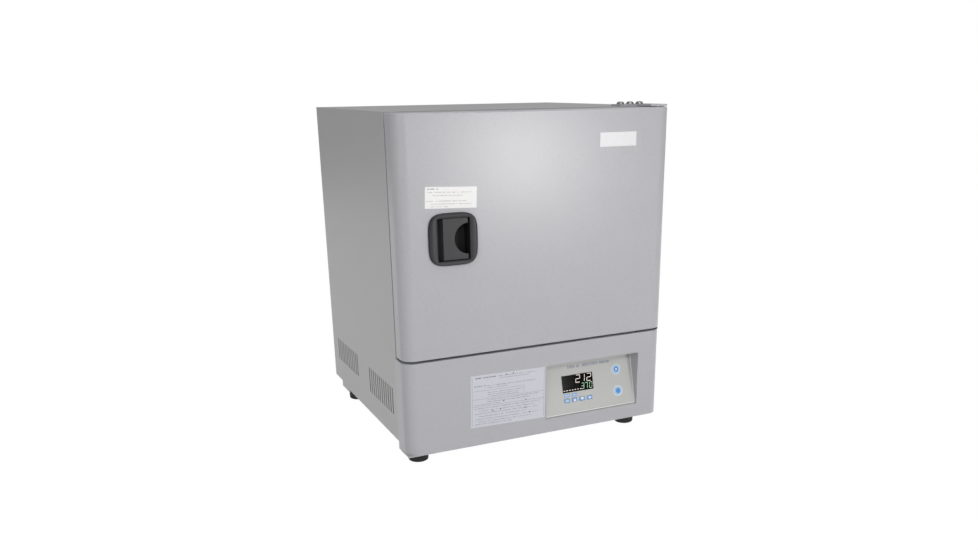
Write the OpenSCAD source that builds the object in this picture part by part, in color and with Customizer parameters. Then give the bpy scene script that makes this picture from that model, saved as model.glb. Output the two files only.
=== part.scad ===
// Bench incubator: an insulated chamber with a hinged outer door and an inner glass door,
// over a compartment with the electronics and a tilted control panel.
// The origin is the middle of the outline at floor level, +Z is up and the door faces -Y.

/* [Chamber] */
// Clear width of the chamber
chamber_w = 340; // [300:5:400]
// Clear height of the chamber
chamber_h = 310; // [280:5:400]
// Thickness of the stainless liner
liner_t = 1; // [0.8:0.1:1.5]
// Distance from the air baffle's face to the chamber's rear wall
baffle_gap = 30; // [29:0.5:40]
// Thickness of the air baffle
baffle_t = 1; // [0.8:0.1:1.5]

/* [Cabinet] */
// Thickness of the painted outer sheet
sheet_t = 1.5; // [1:0.1:2]
// Insulation on each side of the chamber
side_wool = 67.5; // [60:0.5:80]
// Insulation above the chamber
top_wool = 32.5; // [28:0.5:50]
// Insulation below the chamber
floor_wool = 32; // [28:0.5:50]
// Insulation behind the chamber
rear_wool = 42; // [40:0.5:60]
// Height of the lower fascia
fascia_h = 156; // [145:1:180]
// Radius of the upright front corners
corner_r = 20; // [16:1:22]
// How far the rear cover lies inside the cabinet's rear edge
cover_inset = 2; // [1.9:0.1:3]
// Width of the lips that carry the rear cover and the base tray
lip_w = 15; // [12:1:18]
// How far the sides stop above the fascia's lower edge
side_lift = 13; // [8:1:14]
// How far the sides stop above that edge at their rear ends
rear_lift = 19; // [15:1:20]
// Length of the raised rear ends of the sides
rear_lift_d = 47; // [35:1:50]
// How far the sides reach lower in front of their raised rear ends
side_tab = 5; // [3:1:7]
// Length of that lower part
side_tab_d = 50; // [40:1:60]

/* [Side vents] */
// Number of slots in each group
vent_count = 12; // [8:1:12]
// Distance between the slots
vent_pitch = 11.6; // [8:0.1:11.6]
// Width of one slot
vent_slot_w = 5; // [3:0.5:5.5]
// Height of the slots in the rear group and in the rear cover
vent_h = 42; // [30:1:46]
// Height of those slots' lower ends above the fascia's lower edge
vent_lift = 61; // [50:1:66]
// Height of the slots in the front group
vent_front_h = 46; // [30:1:50]
// Height of those slots' lower ends above the fascia's lower edge
vent_front_lift = 53.5; // [50:0.5:60]
// Distance from the front frame to the first slot of the front group
vent_front_in = 26; // [22:1:34]
// Distance from the rear edge to the last slot of the rear group
vent_rear_in = 36; // [30:1:42]

/* [Base] */
// Height of the rubber feet
foot_h = 30; // [25:1:38]
// Diameter of the feet at the top
foot_d = 36; // [30:1:38]
// Diameter of the feet at the floor
foot_base_d = 34; // [26:1:36]
// Radius of the feet's lower edges
foot_edge_r = 3; // [1:0.5:4]
// Distance of the feet from the cabinet's sides
foot_side_in = 36.5; // [34:0.5:45]
// Distance of the front feet behind the door's face
foot_front_in = 60; // [59:1:66]
// Distance of the rear feet from the cabinet's rear
foot_rear_in = 22; // [22:1:40]
// How far the base tray lies inside the sides
tray_inset = 12.5; // [12:0.5:14]
// Radius of the shanks that hold the feet
foot_screw_r = 3; // [2:0.5:4]

/* [Door] */
// Thickness of the outer door
door_t = 38; // [36:1:44]
// Gap between the closed door and the front frame
door_gap = 4; // [3:0.5:6]
// Gap between the door and the fascia
seam_gap = 3.8; // [2.8:0.1:5]
// How far the door's top lies under the cabinet's top
top_gap = 1; // [0.6:0.1:2]
// How far the fascia's face lies behind the door's face
fascia_setback = 1.5; // [0:0.5:3]
// Depth of the fascia's side walls
fascia_d = 47.5; // [46:0.5:55]
// Depth of the pocket in the door's inner panel
pocket_depth = 8; // [7.5:0.5:9]
// How far the pocket reaches past the chamber at the sides
pocket_side = 28; // [27:0.5:29]
// How far the pocket reaches past the chamber above and below
pocket_end = 10; // [9.5:0.5:11]
// Width of the door's silicone seal
seal_w = 9; // [7:0.5:10]
// Air between the seal and the frame
seal_air = 0.3; // [0.2:0.1:0.5]

/* [Door hinge] */
// Distance of the hinge axis from the door's right side
hinge_side_in = 9; // [8.6:0.1:10]
// Distance of the hinge axis behind the door's face
hinge_front_in = 16; // [15:0.5:18]
// Radius of the hinge pins
hinge_pin_r = 4; // [3:0.25:4.5]
// Running clearance of the pins in their bushes
hinge_play = 0.05; // [0.02:0.01:0.1]
// Wall of the bushes
bush_wall = 1.95; // [1.5:0.05:2]
// Length of the bushes
bush_len = 14; // [10:1:20]
// Thickness of the upper hinge plate
hinge_plate_t = 3; // [2:0.5:5]
// Thickness of the lower hinge bracket
bracket_t = 2.2; // [1.5:0.1:2.4]
// Number of bolts in the upper hinge plate
hinge_bolt_count = 3; // [2:1:3]
// Distance between those bolts
hinge_bolt_pitch = 18.5; // [16:0.5:20]
// Radius of the bolt heads
hinge_bolt_head_r = 6.5; // [4.5:0.5:7]
// Height of the bolt heads
hinge_bolt_head_h = 4; // [2:0.2:5]
// Radius of the bolt shanks
hinge_bolt_r = 3; // [2:0.5:3.5]

/* [Handle] */
// Distance of the handle's middle from the door's left side
handle_in = 87.5; // [86:0.5:110]
// Height of the handle's middle above the door's middle
handle_rise = 0.6; // [-40:0.2:40]
// Width of the bezel
bezel_w = 80.5; // [76:0.5:90]
// Height of the bezel
bezel_h = 80.5; // [78:0.5:95]
// How far the bezel stands proud of the door
bezel_proud = 6; // [4:0.5:9]
// Width of the cup
cup_w = 53; // [50:1:56]
// Height of the cup
cup_h = 65; // [60:1:68]
// Depth of the cup behind the door's face
cup_depth = 20; // [19:0.5:21]
// Wall of the cup
cup_wall = 2.5; // [2:0.5:3]
// Gap around the paddle
paddle_gap = 1; // [0.6:0.1:1.5]
// Gap at the paddle's free end
paddle_end_gap = 2.1; // [1:0.1:3]
// Thickness of the paddle
paddle_t = 4; // [3:0.5:5]
// Radius of the finger cut-out
finger_r = 24; // [18:0.5:26]
// Radius of the paddle's pin
paddle_pin_r = 1.5; // [1:0.1:2]
// Running clearance of the paddle on its pin
paddle_play = 0.05; // [0.02:0.01:0.1]
// Thickness of the bolt bar
bolt_t = 6; // [5:0.5:6.5]
// Height of the bolt bar
bolt_h = 20; // [16:1:24]
// Play of the bolt bar in its guides
bolt_play = 0.5; // [0.3:0.1:0.6]

/* [Glass door] */
// Thickness of the pane
glass_t = 5; // [4:0.5:5]
// How far the pane overlaps the frame above and below
glass_lap = 8; // [5:0.5:8.5]
// How far the pane overlaps the frame at the sides
glass_side_lap = 5; // [3:0.5:6]
// Gap between the pane and the frame
glass_gap = 1; // [0.8:0.1:1.5]
// Radius of the glass door's hinge pins
glass_pin_r = 1.5; // [1:0.1:1.7]
// Running clearance of its knuckles
glass_play = 0.05; // [0.02:0.01:0.1]
// Length of the knuckles
knuckle_len = 40; // [20:1:60]

/* [Control panel] */
// Width of the recess in the fascia
recess_w = 182; // [174:1:200]
// Height of the recess
recess_h = 94.5; // [90:0.5:105]
// Distance of the recess from the cabinet's right side
recess_in = 48; // [40:1:56]
// Height of the recess above the fascia's lower edge
recess_lift = 25; // [15:1:30]
// Depth of the recess at its upper edge
recess_top_d = 26; // [20:0.5:30]
// Depth of the recess at its lower edge
recess_low_d = 3.5; // [2:0.5:6]
// Thickness of the panel
panel_t = 2; // [1.5:0.1:3]
// Width of the display
display_w = 61.5; // [50:0.5:70]
// Height of the display
display_h = 30; // [24:1:32]
// Distance from the panel's left edge to the display's middle
display_in = 69.5; // [50:0.5:72]
// Height of the display's middle on the panel
display_up = 52.5; // [50:0.5:60]
// Width of a key
key_w = 10; // [8:0.5:12]
// Height of a key
key_h = 6.5; // [5:0.5:8]
// Distance between the keys
key_pitch = 15; // [14.5:0.1:17]
// How far the keys' middle lies left of the display's middle
key_left = 1.5; // [-5:0.5:5]
// Height of the keys' middle on the panel
key_up = 23.5; // [18:0.5:26]
// Diameter of the ring button
ring_button_d = 13; // [10:0.5:16]
// Diameter of the power button
power_button_d = 12; // [8:0.5:14]
// Distance from the panel's right edge to the round buttons
button_in = 33; // [25:0.5:40]
// Height of the power button's middle on the panel
power_up = 26.5; // [18:0.5:30]
// Distance between the round buttons
button_pitch = 38.5; // [34:0.5:46]
// Travel of the keys and buttons
key_travel = 0.8; // [0.5:0.1:1.2]
// Gap around the keys and buttons
key_gap = 0.3; // [0.3:0.05:0.5]
// Thickness of the circuit boards
board_t = 1.6; // [1:0.2:2]

/* [Labels] */
// Width of the label above the handle
door_label_w = 84; // [60:1:90]
// Height of the label above the handle
door_label_h = 32; // [20:1:40]
// Slant of the label above the handle
door_label_turn = 2.4; // [-3:0.1:3]
// Width of the blank badge
badge_w = 68; // [50:1:80]
// Height of the blank badge
badge_h = 22.5; // [15:0.5:30]
// Width of the label on the fascia
fascia_label_w = 137; // [100:1:140]
// Height of the label on the fascia
fascia_label_h = 90; // [60:1:100]
// Slant of the label on the fascia
fascia_label_turn = 1.1; // [-2:0.1:2]

/* [Shelves] */
// Number of steps in the racks
rack_steps = 6; // [4:1:7]
// Depth of the shelves
shelf_d = 290; // [260:5:330]
// Gap between the shelves and the front frame
shelf_front_gap = 16; // [10:1:20]
// Gap between the shelves and the air baffle
shelf_rear_gap = 14; // [8:1:20]
// Radius of the shelves' frame rod
rod_r = 2.5; // [2:0.25:3]
// Radius of the shelves' wires
wire_r = 1.25; // [1:0.25:1.5]
// Number of wires in a shelf
wire_count = 19; // [10:1:21]
// Width of the rack's ledges
ledge_w = 10; // [8:0.5:14]

/* [Air] */
// Radius of the fan wheel
fan_r = 52; // [40:1:58]
// Depth of the fan wheel
fan_depth = 17; // [12:0.5:18]
// Number of fan blades
blade_count = 10; // [6:1:14]
// Radius of the motor shaft
shaft_r = 3; // [2:0.25:4]
// Running clearance of the shaft in the motor
shaft_play = 0.05; // [0.02:0.01:0.1]
// Radius of the motor
motor_r = 28; // [22:1:34]
// Length of the motor
motor_len = 34; // [25:1:38]
// Radius of the heater's ring
heater_ring_r = 72; // [66:1:85]
// Radius of the heater's tube
heater_r = 3.5; // [3:0.25:4.5]
// How far the heater's and the probe's ends reach behind the liner
tail = 14; // [10:1:16]

/* [Electronics] */
// Width of the power board
power_board_w = 120; // [100:5:140]
// Depth of the power board
power_board_d = 90; // [70:5:110]
// Height of its standoffs
standoff_h = 8; // [6:1:12]
// Radius of its standoffs
standoff_r = 3; // [2.5:0.5:4]
// Width of the transformer
transformer_w = 66; // [50:2:80]
// Depth of the transformer
transformer_d = 56; // [40:2:70]
// Height of the transformer
transformer_h = 56; // [40:2:70]

/* [Hidden] */

$fn = 48;
paint = "#b8b8bc";
paint_side = "#a9a8aa";
stainless = "#c9cbcd";
steel = "#8d9095";
black_plastic = "#2b2b2e";
rubber = "#1b1b1b";
silicone = "#d8d4cc";
wool_colour = "#d9cda5";
key_blue = "#4aa3e6";
board_green = "#2f6b3c";
// Small overlap that lets a cutter pass through a face
cut = 1;
// Side play between parts of one body that are only laid in
lay = 0.3;

// Outline
chamber_d = shelf_front_gap + shelf_d + shelf_rear_gap + baffle_gap;
body_w = chamber_w + 2 * (liner_t + side_wool + sheet_t);
cabinet_d = chamber_d + liner_t + rear_wool + sheet_t + sheet_t + cover_inset;
body_d = door_t + door_gap + cabinet_d;
half_w = body_w / 2;
front_y = -(body_d + bezel_proud) / 2 + bezel_proud;
rear_y = front_y + body_d;
door_rear_y = front_y + door_t;
frame_y = door_rear_y + door_gap;
fascia_y = front_y + fascia_setback;
fascia_rear_y = fascia_y + fascia_d;
cover_y = rear_y - cover_inset - sheet_t;
lip_y = cover_y - sheet_t;
inner_w = body_w - 2 * sheet_t;
ledge_z = foot_h + fascia_h;
chamber_z = ledge_z + floor_wool + liner_t;
chamber_top_z = chamber_z + chamber_h;
top_z = chamber_top_z + liner_t + top_wool + sheet_t;
side_z = foot_h + side_lift;
rear_side_z = foot_h + rear_lift;
tab_y = rear_y - rear_lift_d;
liner_rear_y = frame_y + chamber_d;
liner_x = chamber_w / 2 + liner_t;
fan_z = chamber_z + chamber_h / 2;
baffle_y = liner_rear_y - baffle_gap;

// Door
door_z = ledge_z + seam_gap;
door_top_z = top_z - top_gap;
door_mid_z = (door_z + door_top_z) / 2;
pocket_y = door_rear_y - pocket_depth;
pocket_x = chamber_w / 2 + pocket_side;
pocket_z = chamber_z - pocket_end;
pocket_top_z = chamber_top_z + pocket_end;
seal_rim = 1.5;
pivot_x = half_w - hinge_side_in;
pivot_y = front_y + hinge_front_in;
bush_r = hinge_pin_r + hinge_play + bush_wall;
pin_depth = bush_len - 2;

// Handle, with its axis at the left of the cup
handle_x = -half_w + handle_in;
handle_z = door_mid_z + handle_rise;
axis_in = 4.5;
axis_x = handle_x - cup_w / 2 + axis_in;
axis_y = front_y + 9;
barrel_r = 4;
paddle_face_y = front_y - 2;
paddle_end_x = handle_x + cup_w / 2 - paddle_end_gap;
paddle_half_h = cup_h / 2 - paddle_gap;
spring_len = 9;
spring_wire_r = 0.5;
coil_r = paddle_pin_r + 0.2 + spring_wire_r;
// Distance from the pin to the paddle's plate, which leaves room for the coils
coil_room = coil_r + spring_wire_r + 0.4;
arm_half = 2;
bolt_travel = 7.6;
bolt_y = front_y + cup_depth + bolt_play;
bolt_rear_y = bolt_y + bolt_t;
arm_len = bolt_rear_y - axis_y - 1.2;
tongue_x = -half_w + sheet_t + 8.5;
tongue_t = 4;
barb = 4;
barb_y = frame_y + sheet_t + 2.7;
tongue_end_y = barb_y + 4.8;
slot_x = tongue_x - 5.5;
slot_end_x = tongue_x + tongue_t + bolt_travel + 1.5;
keeper_t = 1.2;

// Glass door
glass_y = frame_y - glass_gap - glass_t;
glass_half_w = chamber_w / 2 + glass_side_lap;
glass_axis_x = glass_half_w + 6;
glass_axis_y = frame_y - 3.5;
knuckle_r = 3.2;
glass_left_x = -glass_half_w - 2;
hinge_zs = [chamber_z + 40, chamber_top_z - 40];
clamp_t = 3;

// Tilted control panel
recess_x1 = half_w - recess_in;
recess_x0 = recess_x1 - recess_w;
recess_z = foot_h + recess_lift;
tilt = atan((recess_top_d - recess_low_d) / recess_h);
panel_len = recess_h / cos(tilt);
panel_y = fascia_y + recess_low_d;
display_x = recess_x0 + display_in;
key_x0 = display_x - key_left - 1.5 * key_pitch;
button_x = recess_x1 - button_in;
flange_y = panel_t + key_gap;
switch_y = flange_y + 1 + key_travel + key_gap;
board_y = switch_y + 3.6;

// Rounded outlines
function arc(cx, cy, r, from, to, n = 10) =
    [for (i = [0:n]) let (a = from + (to - from) * i / n) [cx + r * cos(a), cy + r * sin(a)]];
function bulged(w, h, power, n = 48) =
    [for (i = [0:n - 1]) let (a = 360 * i / n, c = cos(a), s = sin(a))
        [sign(c) * w / 2 * pow(abs(c), 2 / power), sign(s) * h / 2 * pow(abs(s), 2 / power)]];

module box(low, high) {
    translate(low) cube(high - low);
}
// Plan of a piece with two rounded front corners
module front_plan(w, y0, y1, r) {
    polygon(concat(arc(-w / 2 + r, y0 + r, r, 180, 270), arc(w / 2 - r, y0 + r, r, 270, 360),
        [[w / 2, y1], [-w / 2, y1]]));
}
// An outline drawn in x and z, given a depth along y
module upright(y0, y1) {
    translate([0, y1, 0]) rotate([90, 0, 0]) linear_extrude(y1 - y0) children();
}
// An outline drawn in y and z, given a width along x
module sideways(x0, x1) {
    translate([x0, 0, 0]) rotate([90, 0, 90]) linear_extrude(x1 - x0) children();
}
module rod_y(r, y0, y1, x, z) {
    translate([x, y1, z]) rotate([90, 0, 0]) cylinder(r = r, h = y1 - y0);
}
module rod_x(r, x0, x1, y, z) {
    translate([x0, y, z]) rotate([0, 90, 0]) cylinder(r = r, h = x1 - x0);
}
module rod_z(r, z0, z1, x, y) {
    translate([x, y, z0]) cylinder(r = r, h = z1 - z0);
}
module hexagon(r) {
    polygon([for (i = [0:5]) r * [cos(60 * i), sin(60 * i)]]);
}
// The frame of the tilted panel: x across, z up its slope, y into the cabinet
module on_panel() {
    translate([0, panel_y, recess_z]) rotate([-tilt, 0, 0]) children();
}

// Base tray
fascia_flange_y = fascia_rear_y - 12;
tray_y = fascia_flange_y;
tray_x = half_w - sheet_t - tray_inset;
tray_back_x = min(tray_x, inner_w / 2 - lip_w);

// Places of the fasteners
foot_xs = [-half_w + foot_side_in, half_w - foot_side_in];
foot_ys = [front_y + foot_front_in, rear_y - foot_rear_in];
hinge_bolt_y = frame_y + 19;
hinge_bolt_x1 = half_w - 24;
hinge_bolt_xs = [for (i = [0:hinge_bolt_count - 1]) hinge_bolt_x1 - i * hinge_bolt_pitch];
hinge_bolt_end_z = top_z - 9;
cover_screw_r = 1.8;
cover_screw_x = half_w - sheet_t - lip_w / 2;
cover_screw_top_z = top_z - sheet_t - lip_w / 2;
cover_screw_zs = [rear_side_z + 24, door_mid_z - 60, cover_screw_top_z];
cover_screws = [for (s = [-1, 1]) for (z = cover_screw_zs) [s * cover_screw_x, z]];
inlet_x = -half_w + 70;
inlet_z = foot_h + 57;
inlet_w = 48;
inlet_h = 31;
inlet_body_w = 30;
inlet_body_h = 23;
inlet_depth = 20;
probe_r = 2.5;
probe_reach = 22;
probe_x = chamber_w / 4;
probe_z = fan_z + 95;
heater_y = liner_rear_y - baffle_gap / 2 + 1;
heater_boss_r = heater_r + 1;
// Angle between the heater's two ends
heater_gap = 16;
heater_ends = [for (s = [-1, 1])
    [heater_ring_r * sin(s * heater_gap / 2), fan_z - heater_ring_r * cos(heater_gap / 2)]];

module cabinet_shell() color(paint_side) difference() {
    union() {
        for (x = [-half_w, half_w - sheet_t]) sideways(x, x + sheet_t) polygon([
            [frame_y, ledge_z], [frame_y, top_z], [rear_y, top_z], [rear_y, rear_side_z],
            [tab_y, rear_side_z], [tab_y, side_z - side_tab], [tab_y - side_tab_d, side_z - side_tab],
            [tab_y - side_tab_d, side_z], [fascia_rear_y, side_z], [fascia_rear_y, ledge_z]]);
        box([-half_w, frame_y, top_z - sheet_t], [half_w, rear_y, top_z]);
        // Lips for the rear cover
        for (x = [-half_w, half_w - sheet_t - lip_w])
            box([x, lip_y, rear_side_z], [x + sheet_t + lip_w, cover_y, top_z]);
        box([-half_w, lip_y, top_z - sheet_t - lip_w], [half_w, cover_y, top_z]);
        // Lips that carry the base tray
        for (x = [-half_w, tray_x + sheet_t])
            box([x, fascia_rear_y, side_z],
                [x + half_w - tray_x - sheet_t, tab_y, side_z + sheet_t]);
    }
    for (i = [0:vent_count - 1]) for (x = [-half_w - cut, half_w - sheet_t - cut]) {
        translate([x, frame_y + vent_front_in + i * vent_pitch, foot_h + vent_front_lift])
            cube([sheet_t + 2 * cut, vent_slot_w, vent_front_h]);
        translate([x, rear_y - vent_rear_in - vent_slot_w - i * vent_pitch, foot_h + vent_lift])
            cube([sheet_t + 2 * cut, vent_slot_w, vent_h]);
    }
    for (x = hinge_bolt_xs) rod_z(hinge_bolt_r, top_z - sheet_t - cut, top_z + cut, x, hinge_bolt_y);
    for (p = cover_screws) rod_y(cover_screw_r, lip_y - cut, cover_y + cut, p[0], p[1]);
}

module front_frame() color(paint) difference() {
    box([-inner_w / 2, frame_y, ledge_z], [inner_w / 2, frame_y + sheet_t, top_z - sheet_t]);
    box([-liner_x, frame_y - cut, chamber_z - liner_t],
        [liner_x, frame_y + sheet_t + cut, chamber_top_z + liner_t]);
    box([slot_x, frame_y - cut, handle_z - bolt_h / 2 - 3],
        [slot_end_x, frame_y + sheet_t + cut, handle_z + bolt_h / 2 + 3]);
}

module divider_plate() color(steel)
    box([-inner_w / 2, fascia_rear_y, ledge_z - sheet_t], [inner_w / 2, lip_y, ledge_z]);

module rear_cover() color(paint_side) difference() {
    box([-inner_w / 2 + lay, cover_y, rear_side_z],
        [inner_w / 2 - lay, cover_y + sheet_t, top_z - sheet_t - lay]);
    box([inlet_x - inlet_body_w / 2, cover_y - cut, inlet_z - inlet_body_h / 2],
        [inlet_x + inlet_body_w / 2, cover_y + sheet_t + cut, inlet_z + inlet_body_h / 2]);
    for (p = cover_screws)
        rod_y(cover_screw_r, cover_y - cut, cover_y + sheet_t + cut, p[0], p[1]);
    // Vents over the electronics
    for (i = [0:vent_count - 1])
        translate([half_w - 60 - i * vent_pitch, cover_y - cut, foot_h + vent_lift])
            cube([vent_slot_w, sheet_t + 2 * cut, vent_h]);
}

module rear_cover_screws() color(steel) for (p = cover_screws) union() {
    rod_y(cover_screw_r, lip_y - 4, cover_y + sheet_t, p[0], p[1]);
    rod_y(2 * cover_screw_r, cover_y + sheet_t, cover_y + sheet_t + 1.8, p[0], p[1]);
}

module base_tray() color(paint_side) difference() {
    union() {
        difference() {
            box([-tray_x, tray_y, foot_h], [tray_x, cover_y, side_z + 2 * sheet_t]);
            box([-tray_x + sheet_t, tray_y + sheet_t, foot_h + sheet_t],
                [tray_x - sheet_t, lip_y, side_z + 2 * sheet_t + cut]);
        }
        for (x = [-inner_w / 2, tray_x - sheet_t])
            box([x, fascia_rear_y, side_z + sheet_t],
                [x + inner_w / 2 - tray_x + sheet_t, tab_y, side_z + 2 * sheet_t]);
        box([-tray_back_x, lip_y, foot_h], [tray_back_x, cover_y, rear_side_z + lip_w]);
    }
    for (x = foot_xs) for (y = foot_ys)
        rod_z(foot_screw_r, foot_h - cut, foot_h + sheet_t + cut, x, y);
}

module feet() color(rubber) for (x = foot_xs) for (y = foot_ys) translate([x, y, 0])
    rotate_extrude() polygon(concat(
        [[foot_screw_r, foot_h - 10], [2 * foot_screw_r + 1, foot_h - 10], [2 * foot_screw_r + 1, 0]],
        arc(foot_base_d / 2 - foot_edge_r, foot_edge_r, foot_edge_r, 270, 360, 6),
        [[foot_d / 2, foot_h - 5], [foot_d / 2, foot_h], [foot_screw_r, foot_h]]));

module foot_screws() color(steel) for (x = foot_xs) for (y = foot_ys) union() {
    rod_z(foot_screw_r, foot_h - 12, foot_h + sheet_t + 5, x, y);
    rod_z(1.9 * foot_screw_r, foot_h - 14, foot_h - 10, x, y);
    translate([x, y, foot_h + sheet_t]) linear_extrude(4) hexagon(1.9 * foot_screw_r);
}

module inner_liner() color(stainless) difference() {
    box([-liner_x, frame_y, chamber_z - liner_t],
        [liner_x, liner_rear_y + liner_t, chamber_top_z + liner_t]);
    box([-chamber_w / 2, frame_y - cut, chamber_z], [chamber_w / 2, liner_rear_y, chamber_top_z]);
    rod_y(shaft_r + 1, liner_rear_y - cut, liner_rear_y + liner_t + cut, 0, fan_z);
    for (p = heater_ends) rod_y(heater_r, liner_rear_y - cut, liner_rear_y + liner_t + cut, p[0], p[1]);
    rod_y(probe_r, liner_rear_y - cut, liner_rear_y + liner_t + cut, probe_x, probe_z);
}

module cabinet_insulation() color(wool_colour) difference() {
    box([-inner_w / 2, frame_y + sheet_t, ledge_z], [inner_w / 2, lip_y, top_z - sheet_t]);
    box([-liner_x, frame_y, chamber_z - liner_t],
        [liner_x, liner_rear_y + liner_t, chamber_top_z + liner_t]);
    rod_y(motor_r + 1, liner_rear_y, liner_rear_y + liner_t + motor_len + 1, 0, fan_z);
    for (p = heater_ends)
        rod_y(heater_r + 1, liner_rear_y, liner_rear_y + liner_t + tail + 2, p[0], p[1]);
    rod_y(probe_r + 1, liner_rear_y, liner_rear_y + liner_t + tail + 2, probe_x, probe_z);
    box([-half_w, frame_y, handle_z - bolt_h / 2 - 22],
        [slot_end_x + 3, tongue_end_y + 4, handle_z + bolt_h / 2 + 22]);
    for (x = hinge_bolt_xs)
        rod_z(hinge_bolt_r + 1, hinge_bolt_end_z - 2, top_z, x, hinge_bolt_y);
    for (p = cover_screws) rod_y(cover_screw_r + 1, lip_y - 6, lip_y + cut, p[0], p[1]);
}

// Racks: two uprights and a ladder of ledges on each side of the chamber
rack_t = 2;
rack_y0 = frame_y + shelf_front_gap;
rack_y1 = rack_y0 + shelf_d;
rack_pitch = chamber_h / (rack_steps + 1);
module shelf_racks() color(stainless) for (side = [0, 1]) mirror([side, 0, 0]) union() {
    for (y = [rack_y0 + 30, rack_y1 - 45])
        box([chamber_w / 2 - rack_t, y, chamber_z], [chamber_w / 2, y + 15, chamber_top_z]);
    for (i = [1:rack_steps])
        box([chamber_w / 2 - rack_t - ledge_w, rack_y0, chamber_z + i * rack_pitch - rack_t],
            [chamber_w / 2 - rack_t, rack_y1, chamber_z + i * rack_pitch]);
}

shelf_x = chamber_w / 2 - rack_t - rod_r - 1;
module shelf(step) color(stainless) translate([0, 0, chamber_z + step * rack_pitch + rod_r]) union() {
    for (y = [rack_y0 + rod_r, rack_y1 - rod_r]) rod_x(rod_r, -shelf_x, shelf_x, y, 0);
    for (x = [-shelf_x, shelf_x]) rod_y(rod_r, rack_y0 + rod_r, rack_y1 - rod_r, x, 0);
    rod_x(rod_r, -shelf_x, shelf_x, (rack_y0 + rack_y1) / 2, 0);
    for (i = [1:wire_count])
        rod_y(wire_r, rack_y0 + rod_r, rack_y1 - rod_r,
            -shelf_x + 2 * shelf_x * i / (wire_count + 1), rod_r - wire_r / 2);
}
module shelf_upper() shelf(4);
module shelf_lower() shelf(2);

module air_baffle() color(stainless) difference() {
    union() {
        box([-chamber_w / 2 + rack_t, baffle_y, chamber_z + 1],
            [chamber_w / 2 - rack_t, baffle_y + baffle_t, chamber_top_z - 1]);
        for (x = [-1, 1]) for (z = [chamber_z + 20, chamber_top_z - 20])
            rod_y(5, baffle_y + baffle_t / 2, liner_rear_y, x * (chamber_w / 2 - 22), z);
    }
    // Intake in front of the fan
    for (ring = [1:3]) for (i = [1:6 * ring])
        rod_y(3.5, baffle_y - cut, baffle_y + baffle_t + cut,
            12 * ring * cos(60 * i / ring), fan_z + 12 * ring * sin(60 * i / ring));
    // Outlets at both sides
    for (s = [-1, 1]) for (i = [-2:2])
        box([s * (chamber_w / 2 - 26) - 4, baffle_y - cut, fan_z + i * 45 - 15],
            [s * (chamber_w / 2 - 26) + 4, baffle_y + baffle_t + cut, fan_z + i * 45 + 15]);
    rod_y(probe_r + 0.5, baffle_y - cut, baffle_y + baffle_t + cut, probe_x, probe_z);
}

motor_y = liner_rear_y + liner_t;
module fan_motor() color(steel) difference() {
    rod_y(motor_r, motor_y, motor_y + motor_len, 0, fan_z);
    rod_y(shaft_r + shaft_play, motor_y - cut, motor_y + motor_len - 3, 0, fan_z);
}
wheel_y = liner_rear_y - 6;
module motor_shaft() color(stainless)
    rod_y(shaft_r, wheel_y - fan_depth, motor_y + motor_len - 5, 0, fan_z);

module fan_wheel() color(steel) translate([0, 0, fan_z]) difference() {
    union() {
        rod_y(fan_r, wheel_y - 1.5, wheel_y, 0, 0);
        rod_y(shaft_r + 6, wheel_y - fan_depth, wheel_y, 0, 0);
        for (i = [1:blade_count]) rotate([0, 360 * i / blade_count, 0])
            translate([fan_r - 20, wheel_y - fan_depth, 0]) rotate([0, 25, 0])
                cube([20, fan_depth - 1, 1.5]);
    }
    rod_y(shaft_r, wheel_y - fan_depth - cut, wheel_y + cut, 0, 0);
}

module air_heater() color(steel) union() {
    translate([0, heater_y, fan_z]) rotate([90, 0, 0]) rotate([0, 0, -90 + heater_gap / 2])
        rotate_extrude(angle = 360 - heater_gap) translate([heater_ring_r, 0]) circle(r = heater_r);
    for (p = heater_ends) {
        rod_y(heater_r, heater_y, liner_rear_y + liner_t + tail, p[0], p[1]);
        rod_y(heater_boss_r, heater_y - heater_boss_r, heater_y + heater_boss_r, p[0], p[1]);
    }
}

module temperature_probe() color(stainless) union() {
    rod_y(probe_r, baffle_y - probe_reach, liner_rear_y + liner_t + tail, probe_x, probe_z);
    rod_y(probe_r + 3, liner_rear_y - 3, liner_rear_y, probe_x, probe_z);
}

module fascia() color(paint) difference() {
    union() {
        difference() {
            translate([0, 0, foot_h]) linear_extrude(fascia_h)
                front_plan(body_w, fascia_y, fascia_rear_y, corner_r);
            translate([0, 0, foot_h - cut]) linear_extrude(fascia_h - sheet_t + cut)
                front_plan(inner_w, fascia_y + sheet_t, fascia_rear_y + cut, corner_r - sheet_t);
        }
        // The lower flange keeps a square corner at the left
        translate([0, 0, foot_h]) linear_extrude(sheet_t) polygon(concat(
            [[-half_w, fascia_flange_y], [-half_w, fascia_y]],
            arc(half_w - corner_r, fascia_y + corner_r, corner_r, 270, 360), [[half_w, fascia_flange_y]]));
    }
    box([recess_x0, fascia_y - cut, recess_z],
        [recess_x1, fascia_y + sheet_t + cut, recess_z + recess_h]);
}

// Depth of the recess at a height above its lower edge
function recess_at(h) = fascia_y + recess_low_d + h * (recess_top_d - recess_low_d) / recess_h;
bezel_lap = 6;
module control_bezel() color(paint) difference() {
    sideways(recess_x0 - sheet_t, recess_x1 + sheet_t) polygon([
        [fascia_y + sheet_t, recess_z - sheet_t],
        [fascia_y + sheet_t, recess_z + recess_h + sheet_t],
        [recess_at(recess_h) + bezel_lap, recess_z + recess_h + sheet_t],
        [recess_at(0) + bezel_lap, recess_z - sheet_t]]);
    sideways(recess_x0, recess_x1) polygon([
        [fascia_y, recess_z], [fascia_y, recess_z + recess_h],
        [recess_at(recess_h) + 2 * bezel_lap, recess_z + recess_h],
        [recess_at(0) + 2 * bezel_lap, recess_z]]);
}

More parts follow.
